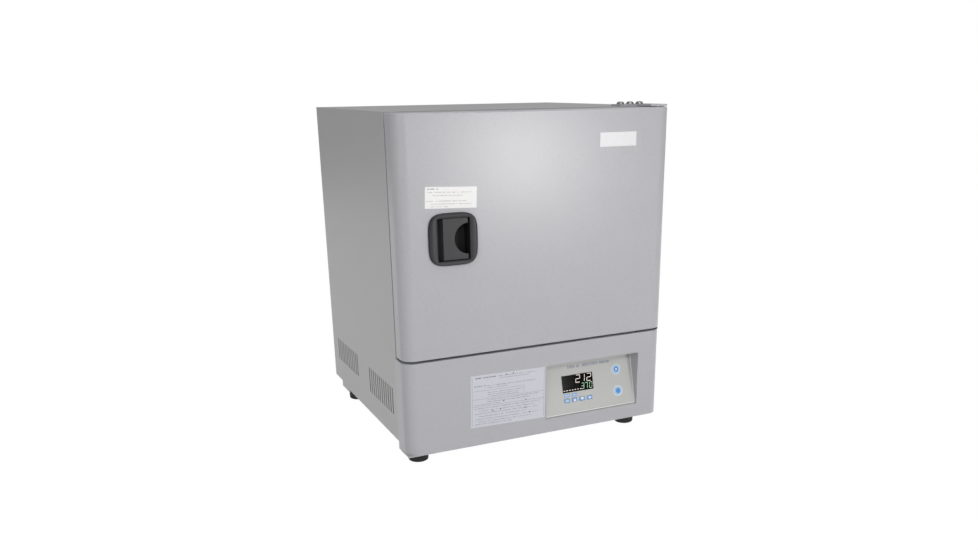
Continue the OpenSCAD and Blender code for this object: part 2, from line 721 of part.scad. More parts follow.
module button_row() {
    for (i = [0:3]) translate([key_x0 + i * key_pitch, 0, key_up]) children();
}
module control_panel() color("#c9ccc2") on_panel() difference() {
    box([recess_x0, 0, panel_t * tan(tilt)], [recess_x1, panel_t, panel_len]);
    box([display_x - display_w / 2, -cut, display_up - display_h / 2],
        [display_x + display_w / 2, panel_t + cut, display_up + display_h / 2]);
    button_row() box([-key_w / 2 - key_gap, -cut, -key_h / 2 - key_gap],
        [key_w / 2 + key_gap, panel_t + cut, key_h / 2 + key_gap]);
    rod_y(power_button_d / 2 + key_gap, -cut, panel_t + cut, button_x, power_up);
    rod_y(ring_button_d / 2 + key_gap, -cut, panel_t + cut, button_x, power_up + button_pitch);
}

module display_module() color("#101312") on_panel() union() {
    box([display_x - display_w / 2, 0.2, display_up - display_h / 2],
        [display_x + display_w / 2, panel_t, display_up + display_h / 2]);
    box([display_x - display_w / 2 - 3, panel_t, display_up - display_h / 2 - 1],
        [display_x + display_w / 2 + 3, board_y, display_up + display_h / 2 + 3]);
}

board_z = key_up - 16;
board_top_z = power_up + button_pitch + 20;
module control_board() color(board_green) on_panel() union() {
    box([recess_x0 + 8, board_y, board_z], [recess_x1 - 8, board_y + board_t, board_top_z]);
    for (x = [recess_x0 + 14, recess_x1 - 14]) for (z = [board_z + 6, board_top_z - 6])
        rod_y(2.5, panel_t, board_y, x, z);
    button_row() box([-3, switch_y, -3], [3, board_y, 3]);
    for (z = [power_up, power_up + button_pitch])
        box([button_x - 3, switch_y, z - 3], [button_x + 3, board_y, z + 3]);
    // Connector
    box([recess_x1 - 60, board_y + board_t, board_top_z - 18],
        [recess_x1 - 30, board_y + board_t + 8, board_top_z - 8]);
}

module key(i) color(key_blue) on_panel() translate([key_x0 + i * key_pitch, 0, key_up]) union() {
    box([-key_w / 2, -0.6, -key_h / 2], [key_w / 2, flange_y, key_h / 2]);
    box([-key_w / 2 - 0.9, flange_y, -key_h / 2 - 0.9], [key_w / 2 + 0.9, flange_y + 1, key_h / 2 + 0.9]);
}
module key_1() key(0);
module key_2() key(1);
module key_3() key(2);
module key_4() key(3);

module round_button(d, up) color(key_blue) on_panel() union() {
    rod_y(d / 2, -0.6, flange_y, button_x, up);
    rod_y(d / 2 + 1.2, flange_y, flange_y + 1, button_x, up);
}
module ring_button() difference() {
    round_button(ring_button_d, power_up + button_pitch);
    on_panel() rod_y(ring_button_d / 5, -cut, 0, button_x, power_up + button_pitch);
}
module power_button() round_button(power_button_d, power_up);

// Electronics on the tray, under the chamber
tray_top_z = foot_h + sheet_t;
power_board_x = -power_board_w / 3;
electronics_y = rear_y - power_board_d - 73;
transformer_x = power_board_x - 2 * transformer_w / 3 - transformer_w;
parts_z = standoff_h + board_t;
module power_board() color(board_green) translate([power_board_x, electronics_y, tray_top_z]) union() {
    box([0, 0, standoff_h], [power_board_w, power_board_d, parts_z]);
    for (x = [2 * standoff_r, power_board_w - 2 * standoff_r])
        for (y = [2 * standoff_r, power_board_d - 2 * standoff_r]) rod_z(standoff_r, 0, standoff_h, x, y);
    // Relay, terminal strip, three capacitors and a heat sink
    box([0.1 * power_board_w, 0.15 * power_board_d, parts_z],
        [0.33 * power_board_w, 0.38 * power_board_d, parts_z + 0.15 * power_board_w]);
    box([0.42 * power_board_w, 0.13 * power_board_d, parts_z],
        [0.9 * power_board_w, 0.22 * power_board_d, parts_z + 0.1 * power_board_w]);
    for (x = [0.48, 0.63, 0.78])
        rod_z(0.05 * power_board_w, parts_z, parts_z + 0.17 * power_board_w,
            x * power_board_w, 0.55 * power_board_d);
    box([0.12 * power_board_w, 0.55 * power_board_d, parts_z],
        [0.25 * power_board_w, 0.9 * power_board_d, parts_z + 0.22 * power_board_w]);
}
// Base, core and coil
module transformer() color("#7c7f84") translate([transformer_x, electronics_y, tray_top_z]) union() {
    box([0, 0, 0], [transformer_w, transformer_d, 0.21 * transformer_h]);
    box([0.09 * transformer_w, 0.07 * transformer_d, 0.2 * transformer_h],
        [0.91 * transformer_w, 0.93 * transformer_d, transformer_h]);
    box([0.21 * transformer_w, -0.11 * transformer_d, 0.32 * transformer_h],
        [0.79 * transformer_w, 1.11 * transformer_d, 0.89 * transformer_h]);
}

module mains_inlet() color(black_plastic) translate([inlet_x, cover_y + sheet_t, inlet_z]) union() {
    difference() {
        union() {
            box([-inlet_w / 2, 0, -inlet_h / 2], [inlet_w / 2, 1.9, inlet_h / 2]);
            box([-inlet_body_w / 2, -inlet_depth, -inlet_body_h / 2], [inlet_body_w / 2, 0, inlet_body_h / 2]);
        }
        box([-12.2, -inlet_depth + 3, -8.4], [12.2, 2 + cut, 8.4]);
    }
    for (x = [-7, 7]) box([x - 1, -inlet_depth + 2, -3.6], [x + 1, -5, 0.4]);
    box([-1, -inlet_depth + 2, 0.6], [1, -4, 4.6]);
}

// Outer door hinge
plate_end_r = hinge_side_in - 0.5;
// From the bolts to the plate's rear edge and to its left end
plate_edge = 2.3 * hinge_bolt_head_r;
plate_end_x = hinge_bolt_xs[hinge_bolt_count - 1] - 1.4 * hinge_bolt_head_r;
// Width of the plate's arm to the pin
plate_arm_w = 3.7 * hinge_bolt_head_r;
module upper_hinge_plate() color(steel) translate([0, 0, top_z]) difference() {
    linear_extrude(hinge_plate_t) polygon(concat(
        [[pivot_x + plate_end_r, hinge_bolt_y + plate_edge]],
        arc(pivot_x, pivot_y, plate_end_r, 0, -90),
        [[pivot_x - plate_arm_w, pivot_y - plate_end_r / 2], [pivot_x - 1.25 * plate_arm_w, frame_y + 3],
        [plate_end_x, frame_y + 3], [plate_end_x, hinge_bolt_y + plate_edge]]));
    for (x = hinge_bolt_xs) rod_z(hinge_bolt_r, -cut, hinge_plate_t + cut, x, hinge_bolt_y);
    rod_z(hinge_pin_r, -cut, hinge_plate_t + cut, pivot_x, pivot_y);
}
socket_depth = 0.55 * hinge_bolt_head_h;
module hinge_bolts() color("#3a3b3f") for (x = hinge_bolt_xs)
    translate([x, hinge_bolt_y, top_z + hinge_plate_t]) difference() {
        union() {
            rod_z(hinge_bolt_r, hinge_bolt_end_z - top_z - hinge_plate_t, cut, 0, 0);
            rotate_extrude() polygon(concat([[0, 0], [hinge_bolt_head_r, 0]],
                [for (a = [0:15:60])
                    [hinge_bolt_head_r * cos(a), hinge_bolt_head_h * (0.2 + 0.8 * sin(a) / sin(60))]],
                [[0, hinge_bolt_head_h]]));
        }
        translate([0, 0, hinge_bolt_head_h - socket_depth])
            linear_extrude(socket_depth + cut) hexagon(0.38 * hinge_bolt_head_r);
    }
module hinge_pins() color(steel) {
    rod_z(hinge_pin_r, door_top_z - pin_depth, top_z + hinge_plate_t, pivot_x, pivot_y);
    rod_z(hinge_pin_r, ledge_z, door_z + pin_depth, pivot_x, pivot_y);
}
module lower_hinge_bracket() color(steel) translate([0, 0, ledge_z]) difference() {
    linear_extrude(bracket_t) polygon(concat(arc(pivot_x, pivot_y, plate_end_r, -90, 90),
        [[pivot_x - 40, pivot_y + plate_end_r], [pivot_x - 40, pivot_y - plate_end_r]]));
    rod_z(hinge_pin_r, -cut, bracket_t + cut, pivot_x, pivot_y);
}

module latch_keeper() color(stainless)
    box([slot_x - 2.5, frame_y + sheet_t, handle_z - bolt_h / 2 - 15],
        [tongue_x - barb + 3.5, frame_y + sheet_t + keeper_t, handle_z + bolt_h / 2 + 15]);

module glass_seal() color(silicone) difference() {
    box([-glass_half_w, frame_y - glass_gap + seal_air, chamber_z - glass_lap],
        [glass_half_w, frame_y, chamber_top_z + glass_lap]);
    box([-liner_x, frame_y - glass_gap - cut, chamber_z - liner_t],
        [liner_x, frame_y + cut, chamber_top_z + liner_t]);
}
ear_half = 2;
ear_z = knuckle_len / 2 + 0.3 + ear_half;
module glass_hinge_brackets() color(stainless) for (z = hinge_zs) for (s = [-1, 1])
    translate([0, 0, z + s * ear_z]) difference() {
        union() {
            rod_z(knuckle_r, -ear_half, ear_half, glass_axis_x, glass_axis_y);
            box([glass_axis_x, glass_axis_y + 1, -ear_half], [glass_axis_x + 4 * knuckle_r, frame_y, ear_half]);
        }
        rod_z(glass_pin_r, -ear_half - cut, ear_half + cut, glass_axis_x, glass_axis_y);
    }
module glass_hinge_pins() color(steel) for (z = hinge_zs)
    rod_z(glass_pin_r, z - ear_z - ear_half, z + ear_z + ear_half, glass_axis_x, glass_axis_y);
module catch_magnet() color(black_plastic)
    box([glass_left_x - 11, glass_y + lay, fan_z - 14], [glass_left_x - 1, frame_y, fan_z + 14]);

module fascia_label() color("#d9d9e2")
    translate([recess_x0 - 2.3 - fascia_label_w / 2, fascia_y, recess_z + 5.8 + fascia_label_h / 2])
        rotate([0, fascia_label_turn, 0])
            box([-fascia_label_w / 2, -0.2, -fascia_label_h / 2], [fascia_label_w / 2, 0, fascia_label_h / 2]);

// Outer door
module door_skin() color(paint) difference() {
    translate([0, 0, door_z]) linear_extrude(door_top_z - door_z)
        front_plan(body_w, front_y, door_rear_y, corner_r);
    translate([0, 0, door_z + sheet_t]) linear_extrude(door_top_z - door_z - 2 * sheet_t)
        front_plan(inner_w, front_y + sheet_t, door_rear_y + cut, corner_r - sheet_t);
    box([handle_x - cup_w / 2 - cup_wall, front_y - cut, handle_z - cup_h / 2 - cup_wall],
        [handle_x + cup_w / 2 + cup_wall, front_y + sheet_t + cut, handle_z + cup_h / 2 + cup_wall]);
    rod_z(bush_r, door_z - cut, door_top_z + cut, pivot_x, pivot_y);
}

module door_inner_panel() color(paint) difference() {
    union() {
        box([-inner_w / 2, door_rear_y - sheet_t, door_z + sheet_t],
            [inner_w / 2, door_rear_y, door_top_z - sheet_t]);
        box([-pocket_x - sheet_t, pocket_y - sheet_t, pocket_z - sheet_t],
            [pocket_x + sheet_t, door_rear_y, pocket_top_z + sheet_t]);
    }
    box([-pocket_x, pocket_y, pocket_z], [pocket_x, door_rear_y + cut, pocket_top_z]);
    box([slot_x, pocket_y - 2 * sheet_t, handle_z - bolt_h / 2 - 2],
        [slot_end_x, door_rear_y + cut, handle_z + bolt_h / 2 + 2]);
}

module door_insulation() color(wool_colour) difference() {
    translate([0, 0, door_z + sheet_t]) linear_extrude(door_top_z - door_z - 2 * sheet_t)
        front_plan(inner_w, front_y + sheet_t, door_rear_y - sheet_t, corner_r - sheet_t);
    box([-pocket_x - sheet_t, pocket_y - sheet_t, pocket_z - sheet_t],
        [pocket_x + sheet_t, door_rear_y, pocket_top_z + sheet_t]);
    box([-half_w, front_y, handle_z - cup_h / 2 - 4],
        [handle_x + cup_w / 2 + 4, door_rear_y, handle_z + cup_h / 2 + 4]);
    rod_z(bush_r + 1, door_z - cut, door_top_z + cut, pivot_x, pivot_y);
}

module seal_ring(grow, y0, y1) difference() {
    box([-pocket_x - seal_rim - seal_w + grow, y0, pocket_z - seal_rim - seal_w + grow],
        [pocket_x + seal_rim + seal_w - grow, y1, pocket_top_z + seal_rim + seal_w - grow]);
    box([-pocket_x - seal_rim - grow, y0 - cut, pocket_z - seal_rim - grow],
        [pocket_x + seal_rim + grow, y1 + cut, pocket_top_z + seal_rim + grow]);
}
module door_seal() color(silicone) union() {
    seal_ring(0, door_rear_y, door_rear_y + 1.5);
    seal_ring(seal_w / 5, door_rear_y + 1, frame_y - seal_air);
}

module door_bushes() color("#e8e6dd") for (z = [door_z, door_top_z - bush_len]) difference() {
    rod_z(bush_r, z, z + bush_len, pivot_x, pivot_y);
    rod_z(hinge_pin_r + hinge_play, z - cut, z + bush_len + cut, pivot_x, pivot_y);
}

module handle_bezel() color(black_plastic) difference() {
    union() {
        translate([handle_x, 0, handle_z]) {
            upright(front_y - bezel_proud / 2, front_y) polygon(bulged(bezel_w, bezel_h, 4));
            upright(front_y - bezel_proud, front_y - bezel_proud / 2)
                polygon(bulged(bezel_w - 6, bezel_h - 6, 4));
        }
        box([handle_x - cup_w / 2 - cup_wall, front_y - 1, handle_z - cup_h / 2 - cup_wall],
            [handle_x + cup_w / 2 + cup_wall, front_y + cup_depth, handle_z + cup_h / 2 + cup_wall]);
        // Guides of the bolt bar
        for (s = [-1, 1]) box(
            [handle_x - cup_w / 2, front_y + cup_depth - 1, handle_z + s * (bolt_h / 2 + bolt_play + 1.5) - 1.5],
            [handle_x + cup_w / 2, bolt_rear_y + bolt_play, handle_z + s * (bolt_h / 2 + bolt_play + 1.5) + 1.5]);
    }
    box([handle_x - cup_w / 2, front_y - bezel_proud - cut, handle_z - cup_h / 2],
        [handle_x + cup_w / 2, front_y + cup_depth - cup_wall, handle_z + cup_h / 2]);
    // Slot for the paddle's arm
    box([axis_x - arm_half - 1.5, front_y + cup_depth - 2 * cup_wall, handle_z - 6],
        [axis_x + arm_half + bolt_travel + 2, front_y + cup_depth + cut, handle_z + 6]);
    rod_z(paddle_pin_r, handle_z - cup_h / 2 - cup_wall - cut, handle_z + cup_h / 2 + cup_wall + cut,
        axis_x, axis_y);
}

module handle_paddle() color(black_plastic) difference() {
    face = paddle_face_y - axis_y;
    end = paddle_end_x - axis_x;
    union() {
        rod_z(barrel_r, handle_z - paddle_half_h + spring_len + 1, handle_z + paddle_half_h, axis_x, axis_y);
        translate([axis_x, axis_y, handle_z - paddle_half_h]) linear_extrude(2 * paddle_half_h) polygon([
            [-0.65 * barrel_r, -coil_room], [0.5 * barrel_r, -1.4 * barrel_r], [1.4 * barrel_r, face],
            [end, face], [end, face + paddle_t], [2.25 * barrel_r, face + paddle_t],
            [0.75 * barrel_r, -coil_room]]);
        box([axis_x - arm_half, axis_y, handle_z - 5], [axis_x + arm_half, axis_y + arm_len, handle_z + 5]);
    }
    rod_y(finger_r, paddle_face_y - cut, paddle_face_y + paddle_t + cut, paddle_end_x + 1.5, handle_z);
    rod_z(paddle_pin_r + paddle_play, handle_z - cup_h / 2, handle_z + cup_h / 2, axis_x, axis_y);
}
module handle_pin() color(steel)
    rod_z(paddle_pin_r, handle_z - cup_h / 2 - cup_wall, handle_z + cup_h / 2 + cup_wall, axis_x, axis_y);

// Torsion spring on the pin, its closed coils drawn as one scalloped sleeve
coils = floor((spring_len - 1) / (2 * spring_wire_r));
module handle_spring() color(steel) translate([axis_x, axis_y, handle_z - cup_h / 2 + paddle_gap])
    rotate_extrude() polygon(concat(
        [[coil_r - spring_wire_r, 2 * spring_wire_r * coils], [coil_r - spring_wire_r, 0]],
        [for (i = [0:coils - 1]) for (a = [-60, 0, 60])
            [coil_r + spring_wire_r * cos(a), spring_wire_r * (2 * i + 1 + sin(a))]]));

window_x1 = axis_x + arm_half + 0.8;
module latch_bolt() color(stainless) difference() {
    translate([0, 0, handle_z - bolt_h / 2]) linear_extrude(bolt_h) polygon([
        [handle_x, bolt_y], [handle_x, bolt_rear_y], [tongue_x + tongue_t, bolt_rear_y],
        [tongue_x + tongue_t, tongue_end_y], [tongue_x + 1, tongue_end_y],
        [tongue_x - barb, barb_y], [tongue_x, barb_y], [tongue_x, bolt_y]]);
    box([axis_x - arm_half - 2.5, bolt_y - cut, handle_z - 6], [window_x1, bolt_rear_y + cut, handle_z + 6]);
}
module latch_plate() color(steel)
    box([handle_x - cup_w / 2, bolt_rear_y + bolt_play, handle_z - bolt_h / 2 - bolt_play - 3],
        [handle_x + cup_w / 2, pocket_y - sheet_t, handle_z + bolt_h / 2 + bolt_play + 3]);

module door_label() color("#f4f4f2")
    translate([handle_x - 1, front_y, handle_z + bezel_h / 2 + 22.5]) rotate([0, door_label_turn, 0])
        box([-door_label_w / 2, -0.2, -door_label_h / 2], [door_label_w / 2, 0, door_label_h / 2]);
module badge_plate() color("#eceaea")
    translate([half_w - 101.5, front_y, door_top_z - 48]) box([-badge_w / 2, -0.8, -badge_h / 2],
        [badge_w / 2, 0, badge_h / 2]);

// Inner glass door
module glass_pane() color("#bfd8d2", 0.4)
    box([glass_left_x, glass_y, chamber_z - glass_lap],
        [glass_half_w, glass_y + glass_t, chamber_top_z + glass_lap]);
module glass_clamps() color(stainless) for (z = hinge_zs) translate([0, 0, z]) difference() {
    union() {
        box([glass_axis_x - 34, glass_y - clamp_t, -knuckle_len / 2], [glass_axis_x, glass_y, knuckle_len / 2]);
        box([glass_axis_x - 2, glass_y - clamp_t, -knuckle_len / 2],
            [glass_axis_x + 1, glass_axis_y, knuckle_len / 2]);
        rod_z(knuckle_r, -knuckle_len / 2, knuckle_len / 2, glass_axis_x, glass_axis_y);
    }
    rod_z(glass_pin_r + glass_play, -knuckle_len / 2 - cut, knuckle_len / 2 + cut, glass_axis_x, glass_axis_y);
}
module glass_knob() color(black_plastic) union() {
    rod_y(9, glass_y - 4.2, glass_y, glass_left_x + 24, fan_z);
    box([glass_left_x - 10, glass_y - 1.2, fan_z - 12], [glass_left_x + 24, glass_y, fan_z + 12]);
}

cabinet_shell();
front_frame();
divider_plate();
rear_cover();
rear_cover_screws();
base_tray();
feet();
foot_screws();
inner_liner();
cabinet_insulation();
shelf_racks();
shelf_upper();
shelf_lower();
air_baffle();
fan_motor();
motor_shaft();
fan_wheel();
air_heater();
temperature_probe();
fascia();
control_bezel();
control_panel();
display_module();
control_board();
key_1();
key_2();
key_3();
key_4();
ring_button();
power_button();
power_board();
transformer();
mains_inlet();
upper_hinge_plate();
hinge_bolts();
hinge_pins();
lower_hinge_bracket();
latch_keeper();
glass_seal();
glass_hinge_brackets();
glass_hinge_pins();
catch_magnet();
fascia_label();
door_skin();
door_inner_panel();
door_insulation();
door_seal();
door_bushes();
handle_bezel();
handle_paddle();
handle_pin();
handle_spring();
latch_bolt();
latch_plate();
door_label();
badge_plate();
glass_pane();
glass_clamps();
glass_knob();
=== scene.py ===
import math
import bmesh
import bpy
from mathutils import Matrix, Vector


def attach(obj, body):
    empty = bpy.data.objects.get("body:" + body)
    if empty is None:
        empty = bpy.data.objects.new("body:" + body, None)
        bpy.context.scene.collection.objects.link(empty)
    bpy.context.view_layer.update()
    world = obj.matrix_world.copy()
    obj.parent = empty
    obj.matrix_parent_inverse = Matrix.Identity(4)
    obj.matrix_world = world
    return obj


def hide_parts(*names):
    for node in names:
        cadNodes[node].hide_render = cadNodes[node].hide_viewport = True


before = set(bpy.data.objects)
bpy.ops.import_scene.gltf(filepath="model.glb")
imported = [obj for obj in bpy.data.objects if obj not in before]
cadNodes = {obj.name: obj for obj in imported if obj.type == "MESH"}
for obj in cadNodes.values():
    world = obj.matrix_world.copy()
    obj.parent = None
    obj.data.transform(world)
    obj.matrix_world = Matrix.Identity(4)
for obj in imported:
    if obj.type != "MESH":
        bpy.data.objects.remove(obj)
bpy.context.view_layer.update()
mm = 0.001
print("frame loaded")

# Camera at the photograph's place, fitted to the cabinet's edges
cameraSettings = {
    "place": (-0.6640, -1.5040, 0.6013),
    "yaw": 25.176,  # degrees to the right of +Y
    "pitch": 18.679,  # degrees down
    "roll": -0.633,
    "focal": 903.4,  # pixels
    "imageWidth": 978,
    "shift": (-0.02141, 0.11664),
    "sensor": 36.0,
    "clip": (0.05, 50),
}


def makeCamera(setup):
    data = bpy.data.cameras.new("photoCamera")
    data.sensor_width = setup["sensor"]
    data.lens = setup["sensor"] * setup["focal"] / setup["imageWidth"]
    data.shift_x, data.shift_y = setup["shift"]
    data.clip_start, data.clip_end = setup["clip"]
    camera = bpy.data.objects.new("photoCamera", data)
    bpy.context.scene.collection.objects.link(camera)
    camera.matrix_world = (
        Matrix.Translation(setup["place"])
        @ Matrix.Rotation(math.radians(-setup["yaw"]), 4, "Z")
        @ Matrix.Rotation(math.radians(90 - setup["pitch"]), 4, "X")
        @ Matrix.Rotation(math.radians(setup["roll"]), 4, "Z"))
    bpy.context.scene.camera = camera


makeCamera(cameraSettings)
print("camera made")


# Colours and nodes
def linearColour(code):
    parts = [int(code[k:k + 2], 16) / 255 for k in (1, 3, 5)]
    return tuple(p / 12.92 if p <= 0.04045 else ((p + 0.055) / 1.055) ** 2.4 for p in parts) + (1.0,)


def addNode(tree, kind, settings=None, links=None):
    node = tree.nodes.new(kind)
    for name, value in (settings or {}).items():
        if isinstance(name, int) or name in node.inputs:
            node.inputs[name].default_value = value
        else:
            setattr(node, name, value)
    for name, source in (links or {}).items():
        tree.links.new(source, node.inputs[name])
    return node


def emptyMaterial(name):
    material = bpy.data.materials.new(name)
    material.use_nodes = True
    material.node_tree.nodes.clear()
    return material, material.node_tree


# What all grained surfaces share: noise, a wider cloud 18 grains across, and how far the gloss wanders
grainLook = {"detail": 3.0, "noiseRough": 0.6, "cloud": 18, "cloudDetail": 2.0, "cloudShare": 0.35,
             "toneFrom": 0.45, "toneTo": 0.9, "glossSpread": 0.05}


# A surface with a fine grain: grain and relief are in millimetres, stretch turns the grain into brush lines
def grainedMaterial(name, light, dark, grain, relief, rough, stretch=(1, 1, 1), sockets=None):
    look = grainLook
    material, tree = emptyMaterial(name)
    place = addNode(tree, "ShaderNodeTexCoord")
    turned = addNode(tree, "ShaderNodeMapping", {"Scale": stretch}, {"Vector": place.outputs["Object"]})
    fine = {"Scale": 1 / (grain * mm), "Detail": look["detail"], "Roughness": look["noiseRough"]}
    noise = addNode(tree, "ShaderNodeTexNoise", fine, {"Vector": turned.outputs[0]})
    coarse = {"Scale": 1 / (look["cloud"] * grain * mm), "Detail": look["cloudDetail"]}
    wide = addNode(tree, "ShaderNodeTexNoise", coarse, {"Vector": turned.outputs[0]})
    both = addNode(tree, "ShaderNodeMath", {"operation": "MULTIPLY_ADD", 1: look["cloudShare"]},
                   {0: wide.outputs[0], 2: noise.outputs[0]})
    tone = addNode(tree, "ShaderNodeMapRange", {"From Min": look["toneFrom"], "From Max": look["toneTo"]},
                   {"Value": both.outputs[0]})
    colour = addNode(tree, "ShaderNodeMix",
                     {"data_type": "RGBA", 6: linearColour(dark), 7: linearColour(light)},
                     {0: tone.outputs[0]})
    gloss = addNode(tree, "ShaderNodeMapRange",
                    {"To Min": rough - look["glossSpread"], "To Max": rough + look["glossSpread"]},
                    {"Value": noise.outputs[0]})
    bump = addNode(tree, "ShaderNodeBump", {"Strength": 1.0, "Distance": relief * mm},
                   {"Height": noise.outputs[0]})
    shader = addNode(tree, "ShaderNodeBsdfPrincipled", sockets,
                     {"Base Color": colour.outputs[2], "Roughness": gloss.outputs[0],
                      "Normal": bump.outputs[0]})
    addNode(tree, "ShaderNodeOutputMaterial", None, {"Surface": shader.outputs[0]})
    return material


# A lit segment, a little uneven over cells of 1.2 mm
glowLook = {"cell": 1.2, "least": 0.85, "most": 1.1, "rough": 0.3}


def glowingMaterial(name, code, strength):
    look = glowLook
    material, tree = emptyMaterial(name)
    place = addNode(tree, "ShaderNodeTexCoord")
    cells = addNode(tree, "ShaderNodeTexNoise", {"Scale": 1 / (look["cell"] * mm)},
                    {"Vector": place.outputs["Object"]})
    shade = addNode(tree, "ShaderNodeMapRange",
                    {"To Min": look["least"] * strength, "To Max": look["most"] * strength},
                    {"Value": cells.outputs[0]})
    colour = linearColour(code)
    shader = addNode(tree, "ShaderNodeBsdfPrincipled",
                     {"Base Color": colour, "Emission Color": colour, "Roughness": look["rough"]},
                     {"Emission Strength": shade.outputs[0]})
    addNode(tree, "ShaderNodeOutputMaterial", None, {"Surface": shader.outputs[0]})
    return material


glassLook = {"tint": "#e4f1ec", "index": 1.52, "dust": 25, "dustDetail": 4.0, "rough": (0.01, 0.05)}


def clearGlass(name):
    look = glassLook
    material, tree = emptyMaterial(name)
    place = addNode(tree, "ShaderNodeTexCoord")
    dust = addNode(tree, "ShaderNodeTexNoise",
                   {"Scale": 1 / (look["dust"] * mm), "Detail": look["dustDetail"]},
                   {"Vector": place.outputs["Object"]})
    gloss = addNode(tree, "ShaderNodeMapRange", {"To Min": look["rough"][0], "To Max": look["rough"][1]},
                    {"Value": dust.outputs[0]})
    shader = addNode(tree, "ShaderNodeBsdfPrincipled",
                     {"Base Color": linearColour(look["tint"]), "IOR": look["index"],
                      "Transmission Weight": 1.0}, {"Roughness": gloss.outputs[0]})
    addNode(tree, "ShaderNodeOutputMaterial", None, {"Surface": shader.outputs[0]})
    return material


